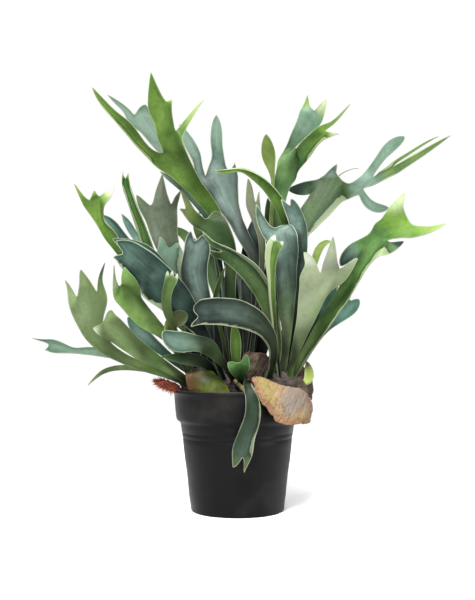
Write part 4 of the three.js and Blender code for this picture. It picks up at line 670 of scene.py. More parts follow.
frondForm = {
    "bladeThickness": 1.1, "stalkThickness": 2.4, "tipThickness": 0.8, "stalkWidth": 8, "stalkEase": 10,
    "thinning": 25, "strips": 9, "forkStrips": 10, "leastStrips": 4, "leastWidth": 0.6, "tipRound": 0.9,
    "rowSpacing": 4.0, "leastRows": 4, "joinRows": (0.5, 1.4), "tipRows": (2.2, 1.0, 0.45, 0.12),
    "leastRow": 0.1, "leastLastRow": 0.08,
    "waveLength": 85, "waveDepth": 0.035, "waveFarShare": 0.7, "flatWidth": 7, "flatEase": 22,
    "buckle": 0.06, "buckleSpan": 34, "ruffle": 1.2, "ruffleSpan": 12, "ripple": 6.0, "rippleSpan": 21,
    "scallop": 0.16, "scallopSpan": 17, "scallopWidth": 6, "scallopEase": 12,
    "joinLength": 26, "joinShare": 0.8, "joinPull": 0.9, "unevenFrom": 6, "bayReach": 32, "bayShare": 0.9,
    "notchReach": 32, "notchGap": 1.6, "notchSlope": 0.15, "aimShare": 0.6, "rounding": 7,
    "notchRounding": 10, "notchArc": 4, "turnOver": 0.48, "turnSlope": 1.3, "blendLength": 18,
    "blendShare": 0.6, "liftPower": 2.2, "liftSpread": 0.12, "seedStep": 3.7,
}
# What each tone looks like: its face, the deeper colour between its veins, its back, and how much
# bloom, vein and pale rim it has
tones = {
    "bright": ((114, 148, 58), (66, 100, 36), (140, 164, 92), (0.04, 0.4, 0.5)),
    "cream": ((192, 206, 122), (158, 178, 80), (170, 186, 120), (0.02, 0.2, 0.5)),
    "lime": ((162, 182, 98), (118, 144, 68), (160, 180, 104), (0.04, 0.3, 0.5)),
    "green": ((98, 134, 64), (54, 90, 42), (142, 162, 108), (0.08, 0.4, 0.55)),
    "dim": ((64, 94, 46), (30, 56, 26), (112, 136, 88), (0.08, 0.4, 0.6)),
    "under": ((90, 120, 62), (36, 64, 28), (92, 120, 82), (0.05, 0.6, 0.5)),
    "blue": ((98, 128, 114), (44, 76, 62), (142, 156, 128), (0.5, 0.3, 0.75)),
    "steel": ((92, 113, 104), (26, 48, 38), (142, 156, 128), (0.72, 0.4, 0.85)),
    "dark": ((50, 80, 72), (14, 38, 26), (120, 140, 108), (0.36, 0.4, 0.85)),
    "grey": ((114, 142, 120), (76, 106, 80), (120, 140, 108), (0.25, 0.25, 0.5)),
    "mist": ((132, 160, 140), (94, 126, 102), (130, 150, 120), (0.15, 0.15, 0.3)),
    "sage": ((144, 162, 114), (96, 124, 66), (74, 106, 80), (0.08, 0.25, 0.4)),
    "moss": ((130, 156, 92), (84, 118, 52), (84, 118, 70), (0.05, 0.25, 0.4)),
    "dusk": ((128, 142, 112), (62, 80, 50), (84, 108, 82), (0.1, 0.3, 0.4)),
    "olive": ((108, 132, 84), (78, 104, 56), (140, 156, 118), (0.1, 0.5, 0.4)),
    "pale": ((196, 206, 172), (150, 172, 118), (90, 124, 80), (0.08, 0.25, 0.3)),
    "white": ((226, 230, 214), (186, 198, 160), (120, 150, 100), (0.05, 0.15, 0.2)),
}
# The crease colour is a painted shadow along a painted fold
bladeColours = {"rim": (206, 214, 184), "bloom": (154, 180, 168), "crease": (10, 24, 12),
                "turned": (184, 196, 158), "felt": (190, 200, 170)}
# Painted shade: blades are painted darker where others crowd over them, as far as they reach in millimetres
paintedCrowdShade = {"reach": 130, "start": 5, "depth": 0.97, "gain": 2.5, "ease": 0.2, "rounds": 5,
            "farShare": 0.6, "leastLight": 0.35,
            "rings": ((0.97, 4), (0.75, 6), (0.4, 7), (0.05, 7)), "light": (-0.35, -0.6, 0.72)}


def placed(station):  # a drawn station goes along its line of sight to its own depth
    across, up, back = station[:3]
    eyeDistance, eyeHeight = view["distance"] / mm, view["eyeHeight"] / mm
    scale = (eyeDistance + back) / eyeDistance
    return Vector((across * scale, back, eyeHeight + (up - eyeHeight) * scale))


def smoothWay(points, widths, startSlope=None):
    marks = [0.0]
    for i in range(1, len(points)):
        marks.append(marks[-1] + (points[i] - points[i - 1]).length)
    last = len(points) - 1
    gaps = [marks[i + 1] - marks[i] for i in range(last)]
    secants = [(points[i + 1] - points[i]) / gaps[i] for i in range(last)]
    slopes = [startSlope if startSlope is not None else secants[0]]
    slopes += [(points[i + 1] - points[i - 1]) / (gaps[i] + gaps[i - 1]) for i in range(1, last)]
    slopes.append(secants[-1])
    steps = [(widths[i + 1] - widths[i]) / gaps[i] for i in range(last)]
    # Widths never overshoot their stations
    swells = [0.0 if a * b <= 0 else 2 * a * b / (a + b) for a, b in zip(steps, steps[1:])]
    swells = [steps[0], *swells, steps[-1]]

    def at(s):
        i = 0
        while i < last - 1 and s > marks[i + 1]:
            i += 1
        d = gaps[i]
        t = min(max((s - marks[i]) / d, 0), 1)
        h0, h1 = 2 * t ** 3 - 3 * t ** 2 + 1, t ** 3 - 2 * t ** 2 + t
        h2, h3 = 3 * t ** 2 - 2 * t ** 3, t ** 3 - t ** 2
        g0, g1, g2 = 6 * t ** 2 - 6 * t, 3 * t ** 2 - 4 * t + 1, 3 * t ** 2 - 2 * t
        point = points[i] * h0 + slopes[i] * (h1 * d) + points[i + 1] * h2 + slopes[i + 1] * (h3 * d)
        along = points[i] * g0 + slopes[i] * (g1 * d) - points[i + 1] * g0 + slopes[i + 1] * (g2 * d)
        width = widths[i] * h0 + swells[i] * h1 * d + widths[i + 1] * h2 + swells[i + 1] * h3 * d
        return point, along.normalized(), max(width, frondForm["leastWidth"])
    return marks, at


def facing(point, along, turn):  # across and out of a blade that faces the eye, but for its turn
    out = Vector((0, -view["distance"] / mm, view["eyeHeight"] / mm)) - point
    out.normalize()
    out = (out - along * out.dot(along)).normalized()
    across = along.cross(out)
    turnedAcross = across * math.cos(turn) + out * math.sin(turn)
    return turnedAcross, out * math.cos(turn) - across * math.sin(turn)


def tipShares(ribbon):
    if "tines" not in ribbon:
        return [1.0]
    total = sum(tine["way"][0][3] for tine in ribbon["tines"])
    return [share * tine["way"][0][3] / total for tine in ribbon["tines"] for share in tipShares(tine)]


def edgesOf(faces):
    return [pair for face in faces for pair in zip(face, face[1:] + face[:1])]


def openEdges(faces):  # those that only one face has
    found = {}
    for p, q in edgesOf(faces):
        if (q, p) in found:
            del found[(q, p)]
        else:
            found[(p, q)] = True
    return list(found)


def neighbours(faces, count):
    around = [set() for _ in range(count)]
    for p, q in edgesOf(faces):
        around[p].add(q)
        around[q].add(p)
    return around


def lookOf(tone, shift, fold):  # face, deep and back colour, then bloom, vein, rim and fold
    *colours, (bloom, vein, rim) = tones[tone]
    channels = [channel * shift for colour in colours for channel in tint(*colour)[:3]]
    return channels + [bloom * min(shift, 1), vein, rim, fold]


def blended(first, second, share):
    return [mixed(a, b, share) for a, b in zip(first, second)]


class Sheet:  # the middle surface of one blade
    def __init__(self, frond, seed):
        self.points, self.thick, self.uv, self.faces = [], [], [], []
        self.looks, self.sides, self.notches, self.pinned = [], [], [], set()
        self.paint, self.seed = frond["paint"], seed
        self.frilled, self.lift = frond.get("frilled", 1), frond.get("lift", 1)
        tips = len(tipShares(frond))
        self.strips = frondForm["strips"]
        if tips > 1:
            self.strips = max(frondForm["leastStrips"], round(frondForm["forkStrips"] / tips))
        self.grow(frond, None, frond.get("turn", [0])[0], frond.get("cup", [0])[0], 0.0, "")
        self.relax()

    def add(self, point, thickness, travelled, across, look, side):
        self.points.append(point)
        self.looks.append(look)
        self.sides.append(side)
        self.thick.append(thickness)
        self.uv.append((across, travelled))
        return len(self.points) - 1

    def rowPlaces(self, length, start, isTip):
        form = frondForm
        count = max(form["leastRows"], round(length / form["rowSpacing"]))
        places = [length * i / count for i in range(count + 1)]
        if start:
            places += form["joinRows"]
        if isTip:
            places += [length - form["tipRound"] * part for part in form["tipRows"]]
        kept = [0.0]
        for place in sorted(p for p in places if 0 <= p <= length)[1:]:
            clear = place == length or length - place > form["leastLastRow"]
            if place - kept[-1] > form["leastRow"] and clear:
                kept.append(place)
        if kept[-1] != length:
            kept.append(length)
        return kept[1:] if start else kept

    def ownLooks(self, path, before):  # at a way's start and end, and where they change
        # lift paints the tones lighter or darker: partly the blade's own tone, partly painted light and shade
        spread = frondForm["liftSpread"] * noise.noise(Vector((self.seed, len(path), 5)))
        shift = self.lift ** frondForm["liftPower"] * (1 + spread)
        if path not in self.paint:
            return before, before, frondForm["turnOver"]
        ends = self.paint[path]
        fold = ends[2] if len(ends) > 2 else 0.0
        turning = ends[3] if len(ends) > 3 else frondForm["turnOver"]
        return lookOf(ends[0], shift, fold), lookOf(ends[1], shift, fold), turning

    def grow(self, ribbon, start, turns, cups, travelled, path):
        form = frondForm
        before = start["look"] if start else None
        lookStart, lookEnd, turning = self.ownLooks(path, before)
        stations = [placed(station) for station in ribbon["way"]]
        widths = [station[3] for station in ribbon["way"]]
        if start:
            first, end = self.points[start["row"][0]], self.points[start["row"][-1]]
            stations.insert(0, (first + end) / 2)
            widths.insert(0, (end - first).length)
        marks, at = smoothWay(stations, widths, start["along"] * form["joinPull"] if start else None)
        length = marks[-1]
        turn, cup = ribbon.get("turn", [turns, turns]), ribbon.get("cup", [cups, cups])
        isTip = "tines" not in ribbon
        join = min(form["joinLength"], form["joinShare"] * length)
        blunt = min(max(1.6 - (length - marks[-2]) / max(widths[-2], 1), 0), 1) if isTip else 0
        bounds = [0.0]
        for share in tipShares(ribbon):
            for _ in range(self.strips):
                bounds.append(bounds[-1] + share / self.strips)

        def rowAt(s):
            point, along, width = at(s)
            angle = math.radians(mixed(*turn, s / length))
            curl = math.radians(mixed(*cup, s / length))
            across, out = facing(point, along, angle)
            if start:
                across = across.lerp(start["across"], 1 - eased(s / form["joinLength"]))
                across = (across - along * across.dot(along)).normalized()
                out = across.cross(along)
            if isTip and s > marks[-2]:
                part = (s - marks[-2]) / (length - marks[-2])
                width += blunt * (widths[-2] * math.sqrt(max(1 - part * part, 0)) - width)
            left = length - s
            if isTip and left < form["tipRound"]:
                width = min(width, 2 * math.sqrt(max(2 * form["tipRound"] * left - left * left, 0)))
            wide = max(width, 0.05) / max(0.35, math.cos(angle))
            loose = eased((width - form["scallopWidth"]) / form["scallopEase"]) * form["scallop"]
            spot = (travelled + s) / form["scallopSpan"]
            sides = [1 + loose * noise.noise(Vector((spot, self.seed + k * 9, len(path)))) for k in (0, 1)]
            wave = form["waveDepth"] * width * math.sin((travelled + s) * fullTurn / form["waveLength"])
            bend = max(abs(curl) / 2, 0.01)
            radius = wide / 2 / math.sin(bend)
            places, acrosses = [], []
            for bound in bounds:
                u = 2 * bound - 1
                lean = math.asin(min(max(wide / 2 * u / radius, -1), 1)) * sides[u > 0]
                rise = radius * (1 - math.cos(lean)) - radius * (1 - math.cos(bend)) / 2
                waved = wave * u * abs(u) * (1 if u > 0 else form["waveFarShare"])
                lift = math.copysign(1, curl) * rise + waved
                places.append(point + across * (radius * math.sin(lean)) + out * lift)
                acrosses.append(u * wide / 2)
            return places, acrosses, point, out, width

        if start:
            firstPlaces, firstAcrosses = rowAt(0.0)[:2]
            shifts = [self.points[i] - place for i, place in zip(start["row"], firstPlaces)]
            slides = [self.uv[i][0] - value for i, value in zip(start["row"], firstAcrosses)]
        previous, grown = (start["row"] if start else None), []
        for s in self.rowPlaces(length, start, isTip):
            places, acrosses, point, out, width = rowAt(s)
            narrow = min(max((width - form["stalkWidth"]) / form["stalkEase"], 0), 1)
            thickness = mixed(form["stalkThickness"], form["bladeThickness"], 1 if start else narrow)
            if isTip:
                thickness = mixed(thickness, form["tipThickness"], eased(1 - (length - s) / form["thinning"]))
            fade = 1 - eased(s / join)
            look = blended(lookStart, lookEnd, eased((s / length - turning) * form["turnSlope"] + 0.5))
            if start and before is not lookStart:
                blend = min(form["blendLength"], form["blendShare"] * length)
                look = blended(before, look, eased(s / blend))
            if isTip and s == length:
                slide = slides[len(slides) // 2] * fade if start else 0
                tip = self.add(point, form["tipThickness"], travelled + s, slide, look, 0.0)
                self.pinned.add(tip)
                self.faces += [(p, q, tip) for p, q in zip(previous, previous[1:])]
                break
            row = []
            for j, place in enumerate(places):
                side = u = 2 * bounds[j] - 1
                across, share = acrosses[j], 1
                if start:
                    place = place + shifts[j] * fade
                    across += slides[j] * fade
                    side = mixed(u, self.sides[start["row"][j]], fade)
                    share = eased(s / form["unevenFrom"])
                place = place + out * (self.unevenness(place, width, u) * share)
                row.append(self.add(place, thickness, travelled + s, across, look, side))
            if start:
                self.keepApart(row, start)
            elif previous is None:
                self.pinned.update(row)
            if previous:
                self.faces += list(zip(previous, previous[1:], row[1:], row))
            grown.append((row, length - s))
            previous = row
        if not isTip:
            if "bays" in ribbon:
                self.openBays(ribbon, grown, bounds, length)
            self.fork(ribbon, previous, out, turn[1], cup[1], travelled + length, path, look)

    def unevenness(self, place, width, u):  # shallow buckles over the blade and ruffles at its edges
        form = frondForm
        broad = noise.noise(place / form["buckleSpan"] + Vector((self.seed, 0, 0)))
        fine = noise.noise(place / form["ruffleSpan"] + Vector((0, self.seed, 0)))
        edge = Vector((0, 0, self.seed + (5 if u > 0 else 0)))
        ripple = noise.noise(place / form["rippleSpan"] + edge)
        return eased((width - form["flatWidth"]) / form["flatEase"]) * (
            form["buckle"] * width * broad + form["ruffle"] * fine * (0.25 + 0.75 * u * u)
            + form["ripple"] * self.frilled * ripple * u * u)

    def openBays(self, ribbon, grown, bounds, length):  # a fork's notches, and the blade just before them
        row = grown[-1][0]
        total = sum(tine["way"][0][3] for tine in ribbon["tines"])
        ends = ribbon.get("ends", [None, None])
        marks, count, bound = [], 0, 0.0
        for i, place in enumerate([ends[0]] + ribbon["bays"] + [ends[1]]):
            if i > 0:
                count += len(tipShares(ribbon["tines"][i - 1])) * self.strips
                bound += ribbon["tines"][i - 1]["way"][0][3] / total
            point = self.points[row[count]]
            shift = placed((place[0], place[1], point.y)) - point if place else Vector()
            marks.append((bound, shift))
        window = min(frondForm["bayReach"], frondForm["bayShare"] * length)
        for moved, left in grown:
            share = eased(1 - left / window)
            for j, index in enumerate(moved if share > 0 else []):
                k = 1
                while k < len(marks) - 1 and marks[k][0] <= bounds[j] - 1e-6:
                    k += 1
                (low, lowShift), (high, highShift) = marks[k - 1:k + 1]
                self.points[index] += lowShift.lerp(highShift, (bounds[j] - low) / (high - low)) * share

    def keepApart(self, row, start):  # each tine stays on its own side of the notches beside it
        form = frondForm
        for notch in start["notches"]:
            for index in row:
                off = self.points[index] - notch["point"]
                near = off.length
                need = min(form["notchGap"], form["notchSlope"] * near)
                side = off.dot(notch["normal"]) * notch["side"]
                if near <= form["notchReach"] and side < need:
                    ease = 1 - eased((near / form["notchReach"] - 0.6) / 0.4)
                    self.points[index] += notch["normal"] * notch["side"] * (need - side) * ease

    def fork(self, ribbon, row, out, turn, cup, travelled, path, look):
        tines = ribbon["tines"]
        aims = [placed(tine["way"][0]) for tine in tines]
        cuts, first = [], 0
        for tine in tines:
            count = len(tipShares(tine)) * self.strips
            cuts.append(row[first:first + count + 1])
            first += count
        chords = [(self.points[cut[-1]] - self.points[cut[0]]).normalized() for cut in cuts]
        self.notches += [cut[0] for cut in cuts[1:]]
        for i, tine in enumerate(tines):
            notches = []
            for other, side in ((i - 1, 1), (i + 1, -1)):
                if not 0 <= other < len(tines):
                    continue
                point = self.points[cuts[i][0] if side > 0 else cuts[i][-1]].copy()
                both = (chords[i] + chords[other]).normalized()
                middle = ((aims[i] - point).normalized() + (aims[other] - point).normalized()
                          + out.cross(both)).normalized()
                aimed = (aims[max(i, other)] - aims[min(i, other)]).normalized()
                normal = aimed * frondForm["aimShare"] + both
                normal = (normal - middle * normal.dot(middle)).normalized()
                notches.append({"point": point, "normal": normal, "side": side})
            along = out.cross(chords[i]).normalized()
            start = {"row": cuts[i], "along": along, "across": chords[i], "notches": notches, "look": look}
            self.grow(tine, start, turn, cup, travelled, path + str(i))

    def drawIn(self, group, near):  # half way to the middle of their neighbours, all at once
        moved = [(p, sum((self.points[q] for q in near[p]), Vector()) / len(near[p])) for p in group]
        for p, middle in moved:
            self.points[p] = self.points[p].lerp(middle, 0.5)

    def relax(self):  # rounds the notches and evens out the forks
        around = dict(enumerate(neighbours(self.faces, len(self.points))))
        beside = {}
        for p, q in openEdges(self.faces):
            beside.setdefault(p, []).append(q)
            beside.setdefault(q, []).append(p)
        near = {**around, **beside}
        for _ in range(frondForm["rounding"]):
            self.drawIn([p for p in near if p not in self.pinned], near)
        for notch in self.notches:
            arc = {notch}
            for _ in range(frondForm["notchArc"]):
                arc |= {q for p in arc for q in beside.get(p, [])}
            arc -= self.pinned
            inner = {q for p in arc for q in around[p]} - set(beside) - self.pinned
            for _ in range(frondForm["notchRounding"]):
                self.drawIn([p for p in arc if p in beside], beside)
                self.drawIn(inner, around)


def crowdAims():  # directions over the sky, and how much light comes from each
    light, aims = Vector(paintedCrowdShade["light"]).normalized(), []
    for height, count in paintedCrowdShade["rings"]:
        for k in range(count):
            angle = fullTurn * (k + height) / count
            flat = math.sqrt(1 - height * height)
            aim = Vector((flat * math.cos(angle), flat * math.sin(angle), height))
            aims.append((aim, paintedCrowdShade["leastLight"] + max(aim.dot(light), 0)))
    return aims


# painted shade for each point: the share of sky and key light that the other blades hide
def crowdShades(sheet, tree, aims):
    total, shades = sum(weight for _, weight in aims), []
    for point in sheet.points:
        hidden = 0.0
        for aim, weight in aims:
            distance = tree.ray_cast(point + aim * paintedCrowdShade["start"], aim, paintedCrowdShade["reach"])[3]
            if distance is not None:
                hidden += weight * (1 - paintedCrowdShade["farShare"] * distance / paintedCrowdShade["reach"])
        shades.append(1 - paintedCrowdShade["depth"] * eased(hidden / total * paintedCrowdShade["gain"] - paintedCrowdShade["ease"]))
    around = neighbours(sheet.faces, len(shades))
    for _ in range(paintedCrowdShade["rounds"]):  # each shade is drawn towards its neighbours'
        shades = [(shade + sum(shades[q] for q in ring)) / (1 + len(ring))
                  for shade, ring in zip(shades, around)]
    return shades


def addBlade(name, sheet, shades):  # both faces of the sheet and the rim between them
    count = len(sheet.points)
    normals = [Vector() for _ in sheet.points]
    for face in sheet.faces:
        corners = [sheet.points[i] for i in face]
        normal = (corners[1] - corners[0]).cross(corners[-1] - corners[0])
        if len(face) == 4:
            normal += (corners[3] - corners[2]).cross(corners[1] - corners[2])
        for i in face:
            normals[i] += normal
    verts = [tuple((point + normal.normalized() * (side * thickness / 2)) * mm) for side in (1, -1)
             for point, normal, thickness in zip(sheet.points, normals, sheet.thick)]
    edges = openEdges(sheet.faces)
    backs = [tuple(i + count for i in reversed(face)) for face in sheet.faces]
    rims = [(q, p, p + count, q + count) for p, q in edges]
    blade = meshPiece(name, verts, sheet.faces + backs + rims)
    mesh = blade.data

    tree = kdtree.KDTree(len(edges))
    for k, (p, q) in enumerate(edges):
        tree.insert((sheet.points[p] + sheet.points[q]) / 2, k)
    tree.balance()
    edgePoints = {i for edge in edges for i in edge}
    margins = [0.0 if i in edgePoints else tree.find(point)[2] for i, point in enumerate(sheet.points)]
    for key, values in (("margin", margins), ("shade", shades), ("side", sheet.sides)):
        keepValues(mesh, key, "FLOAT", "POINT", values * 2)
    # painted shade: the face, deep and back tints are darkened by each point's shade
    for key, low in (("nearTint", 0), ("deepTint", 3), ("farTint", 6), ("looks", 9)):
        values = [part for look, shade in zip(sheet.looks, shades)
                  for part in (*[value * (shade if low < 9 else 1) for value in look[low:low + 3]], look[12])]
        keepValues(mesh, key, "FLOAT_COLOR", "POINT", values * 2)
    faceSides = [1.0] * len(sheet.faces) + [0.0] * len(backs) + [0.5] * len(rims)
    keepValues(mesh, "nearFace", "FLOAT", "FACE", faceSides)
    layer = mesh.uv_layers.new(name="bladeMap")
    for loop in mesh.loops:
        u, v = sheet.uv[loop.vertex_index % count]
        layer.data[loop.index].uv = (u * mm, v * mm)
    sharp = {tuple(sorted((p + low, q + low))) for p, q in edges for low in (0, count)}
    sharpness = [tuple(sorted(edge.vertices)) in sharp for edge in mesh.edges]
    keepValues(mesh, "sharp_edge", "BOOLEAN", "EDGE", sharpness)
    mesh.polygons.foreach_set("use_smooth", [True] * len(faceSides))
    mesh.update()
    return blade


def frondFinish():
    skin = Finish("frondSkin", 0.08)
    ranged, times = skin.ranged, skin.times
    uv = skin.node("UVMap", uv_map="bladeMap").outputs[0]
    margin, near, side, shade = [skin.kept(key) for key in ("margin", "nearFace", "side", "shade")]
    face, deep, far, looks = [skin.kept(key, "Color") for key in ("nearTint", "deepTint", "farTint", "looks")]
    bloom, vein, rim = skin.node("SeparateColor", {0: looks}).outputs
    fold = skin.kept("looks", "Alpha")
    veins = skin.noise(1.0, 3.0, 0.6, 0.0, skin.stretched((900, 30, 1), uv))
    streaks = skin.noise(1.0, 4.0, 0.65, 0.3, skin.stretched((300, 16, 1), uv))
    patches = skin.noise(22.0, 4.0, 0.6)
    specks = skin.noise(190.0, 3.0, 0.7)
    skin.colour = skin.mix(ranged(patches, 0.3, 0.66), deep, face)
    skin.coat(times(ranged(margin, 0.6, 6, 0.65, 0), ranged(bloom, 0.1, 0.5, 0.2, 1)), deep)
    skin.coat(times(ranged(streaks, 0.36, 0.7, 0, 0.6), vein), deep)
    skin.coat(times(ranged(veins, 0.46, 0.68), vein), deep)
    skin.coat(ranged(specks, 0.46, 0.66, 0, 0.3), deep)
    bloomed = times(ranged(patches, 0.36, 0.62, 0.3, 1.0), ranged(streaks, 0.3, 0.7, 1.0, 0.6),
                    ranged(margin, 1.5, 9, 0.1, 1.0), ranged(shade, 0.4, 1.0), bloom)
    skin.coat(bloomed, bladeColours["bloom"])
    shadedHalf = skin.math("ADD", side, ranged(patches, 0.3, 0.7, -0.35, 0.35))  # painted shade: the right half is darker, as if turned from the light
    skin.coat(ranged(shadedHalf, 0.1, 0.75, 0, 0.42), deep)
    folded = skin.math("ADD", times(side, fold), ranged(patches, 0.3, 0.7, -0.08, 0.08))
    # painted shadow: a dark line just before the painted fold turns over
    crease = times(ranged(folded, 0.16, 0.31), ranged(folded, 0.31, 0.34, 0.75, 0))
    skin.coat(crease, skin.mix(0.5, deep, tint(*bladeColours["crease"])))
    turned = skin.mix(ranged(folded, 0.34, 0.6, 0.35, 0.75), far, tint(*bladeColours["turned"]))
    skin.coat(ranged(folded, 0.31, 0.35, 0, 0.85), turned)
    felt = skin.mix(ranged(streaks, 0.3, 0.7, 0, 0.3), far, tint(*bladeColours["felt"]))
    skin.colour = skin.mix(near, felt, skin.colour)
    rimShare = times(ranged(margin, 0.15, 1.5, 1.0, 0), rim, ranged(patches, 0.34, 0.6, 0.5, 1.0),
                     ranged(shade, 0.3, 1.0, 0.2, 1.0))
    skin.coat(rimShare, bladeColours["rim"])
    rough = skin.math("ADD", ranged(near, 0.0, 1.0, 0.86, 0.5), ranged(patches, 0.3, 0.7, -0.06, 0.08))
    grooves = skin.math("ADD", veins, times(streaks, 1.4))
    return skin.done(rough, grooves, 0.35, 0.0006)


print("growing fronds")
frondSkin = frondFinish()
sheets = {}
for name, frond in fronds.items():
    sheets[name] = Sheet(frond, len(sheets) * frondForm["seedStep"])
crowdPoints, crowdFaces = [], []
for sheet in sheets.values():
    first = len(crowdPoints)
    crowdPoints += sheet.points
    crowdFaces += [[i + first for i in face] for face in sheet.faces]
crowd, skyAims = BVHTree.FromPolygons(crowdPoints, crowdFaces), crowdAims()
for name, sheet in sheets.items():
    blade = addBlade("blade_" + name, sheet, crowdShades(sheet, crowd, skyAims))
    # The three inner blades stand in the shade between the others, and the solids leave them out
    replaced = None if name.startswith("innerBlade") else "frond_" + name
    finishPiece(blade, "blade_" + name, frondSkin, replaced, None)
print("fronds done:", len(sheets), "points:", len(crowdPoints))

# Pot: rings of [radius, height] in millimetres, from the foot up the outside, over the lip and down
# the inside
potForm = {
    "sides": 96, "wallColour": (17, 17, 18), "lipHighlightColour": (90, 90, 92), "dustColour": (120, 114, 106),
    "notches": 8, "notchSize": (0.007, 0.009, 0.0022), "notchRadius": 0.0613, "notchHeight": 0.0004,
    "rings": [
        (56, 0), (59.6, 0), (60.9, 0.6), (61.5, 2.2), (62.2, 6), (64.4, 24), (67, 50), (70, 70), (71.9, 88),
        (72.5, 95), (72.2, 95.7), (72.2, 96.7), (72.8, 97.4), (73.4, 102), (73.1, 102.7), (73.1, 103.6),
        (73.7, 104.3), (75.0, 113.5), (75.4, 115.8), (76.3, 117.4), (79.6, 119.9), (80.7, 121.3),
        (81.2, 123.4), (82.2, 132), (83.4, 148), (83.8, 154.4), (84.3, 155.3), (84.9, 155.9), (85, 157),
        (85, 158.8), (84.7, 159.6), (84.1, 160), (83.3, 160), (82.8, 159.5), (82.5, 157), (82, 154),
        (80.4, 135), (79.5, 125), (78.7, 122.6), (74.5, 118.4), (73.6, 116), (70.6, 96), (68.1, 70),
        (65.1, 50), (62.2, 24), (60.2, 4), (58, 3)],
}


def extruded(rise, factor, height):  # a ring of the edges that are selected, higher and scaled about the axis
    bpy.ops.mesh.extrude_region_move(TRANSFORM_OT_translate={"value": (0, 0, rise)})
    bpy.ops.transform.resize(value=(factor, factor, 1), center_override=(0, 0, height))


def addPot():
    rings = potForm["rings"]
    clearSelection()
    bpy.ops.mesh.primitive_circle_add(vertices=potForm["sides"], radius=rings[0][0] * mm, fill_type="NOTHING",
                                      location=(0, 0, rings[0][1] * mm))
    pot = settled(bpy.context.object)
    with editing(pot):
        for (radius, height), (nextRadius, nextHeight) in zip(rings, rings[1:]):
            extruded((nextHeight - height) * mm, nextRadius / radius, nextHeight * mm)
        bpy.ops.mesh.edge_face_add()  # inside floor
        bpy.ops.mesh.select_all(action="DESELECT")
    for vertex in pot.data.vertices:
        vertex.select = vertex.co.z < 0.1 * mm and Vector(vertex.co[:2]).length < (rings[0][0] + 0.5) * mm
    with editing(pot, None):
        bpy.ops.mesh.edge_face_add()  # foot
        outwards()
    for i in range(potForm["notches"]):
        angle, away = (i + 0.5) * fullTurn / potForm["notches"], potForm["notchRadius"]
        clearSelection()
        bpy.ops.mesh.primitive_cube_add(size=1, rotation=(0, 0, angle), location=(
            away * math.cos(angle), away * math.sin(angle), potForm["notchHeight"]))
        cutter = bpy.context.object
        cutter.scale = potForm["notchSize"]
        settled(cutter)
        applyModifier(pot, "BOOLEAN", "footNotch", object=cutter, operation="DIFFERENCE", solver="EXACT")
        bpy.data.objects.remove(cutter)
    return pot


def potFinish():
    plastic = Finish("potPlastic", 0.085)
    ranged = plastic.ranged
    clouds = plastic.noise(14.0, 4.0, 0.6)
    dust = plastic.times(ranged(clouds, 0.5, 0.75), 0.12)
    plastic.base(dust, potForm["wallColour"], potForm["dustColour"])
    # painted highlight: a lighter band along the top of the lip, where light from above catches it
    plastic.coat(plastic.times(ranged(plastic.axes()["Z"], 0.1585, 0.1598), 0.5), potForm["lipHighlightColour"])
    return plastic.done(ranged(clouds, 0.3, 0.7, 0.40, 0.52), plastic.noise(900.0, 2.0), 0.12, 0.0002)


print("making the pot")
finishPiece(addPot(), "nurseryPot", potFinish(), "pot", 35)

# Soil: a crumbly disc just below the lip, with bark chips and white grit
soilForm = {
    "top": 0.151, "radius": 0.0812, "sides": 64, "cuts": 7, "rimEase": (0.076, 0.005), "lift": 0.9,
    "swell": 1.6, "swellSpan": 9, "lumps": 1.0, "lumpSpan": 3.5,
    "walls": [(-0.03, 0.88, 0.12), (-0.115, 0.83, 0.005)], "scatterRadius": 0.077, "crumbRise": 0.0015,
    "chips": 260, "chipSizes": (0.0012, 0.0042), "grit": 60, "gritSizes": (0.0008, 0.0018),
}


def addSoil():
    form = soilForm
    clearSelection()
    bpy.ops.mesh.primitive_circle_add(vertices=form["sides"], radius=form["radius"], fill_type="TRIFAN",
                                      location=(0, 0, form["top"] - mm))
    soil = settled(bpy.context.object)
    with editing(soil):
        bpy.ops.mesh.subdivide(number_cuts=form["cuts"])
    flatFrom, flatWidth = form["rimEase"]
    for vertex in soil.data.vertices:
        keep = 1 - eased((Vector(vertex.co[:2]).length - flatFrom) / flatWidth)
        spot = vertex.co / mm
        vertex.co.z += keep * mm * (form["lift"] + form["swell"] * noise.noise(spot / form["swellSpan"])
                                    + form["lumps"] * noise.noise(spot / form["lumpSpan"]))
    with editing(soil):
        bpy.ops.mesh.region_to_loop()
        for wall in form["walls"]:
            extruded(*wall)
        bpy.ops.mesh.edge_face_add()
        outwards()
    return soil


def soilFinish():
    damp = Finish("dampSoil")
    crumbs = damp.node("TexVoronoi", {"Vector": damp.coords, "Scale": 420.0}).outputs["Distance"]
    grain = damp.noise(60.0, 5.0)
    damp.base(damp.ranged(grain, 0.35, 0.7), (34, 26, 20), (74, 58, 44))
    damp.coat(damp.ranged(crumbs, 0.0, 0.5, 0.5, 0), (22, 17, 14))
    return damp.done(damp.ranged(grain, 0.3, 0.7, 0.8, 0.98), crumbs, 0.6, 0.002)


def plainFinish(name, deep, light, scale, rough, bumpDepth):
    plain = Finish(name)
    grain = plain.noise(scale, 4.0, 0.6)
    plain.base(plain.ranged(grain, 0.3, 0.7), deep, light)
    return plain.done(plain.ranged(grain, 0.3, 0.7, rough - 0.08, rough + 0.06), grain, 0.5, bumpDepth)


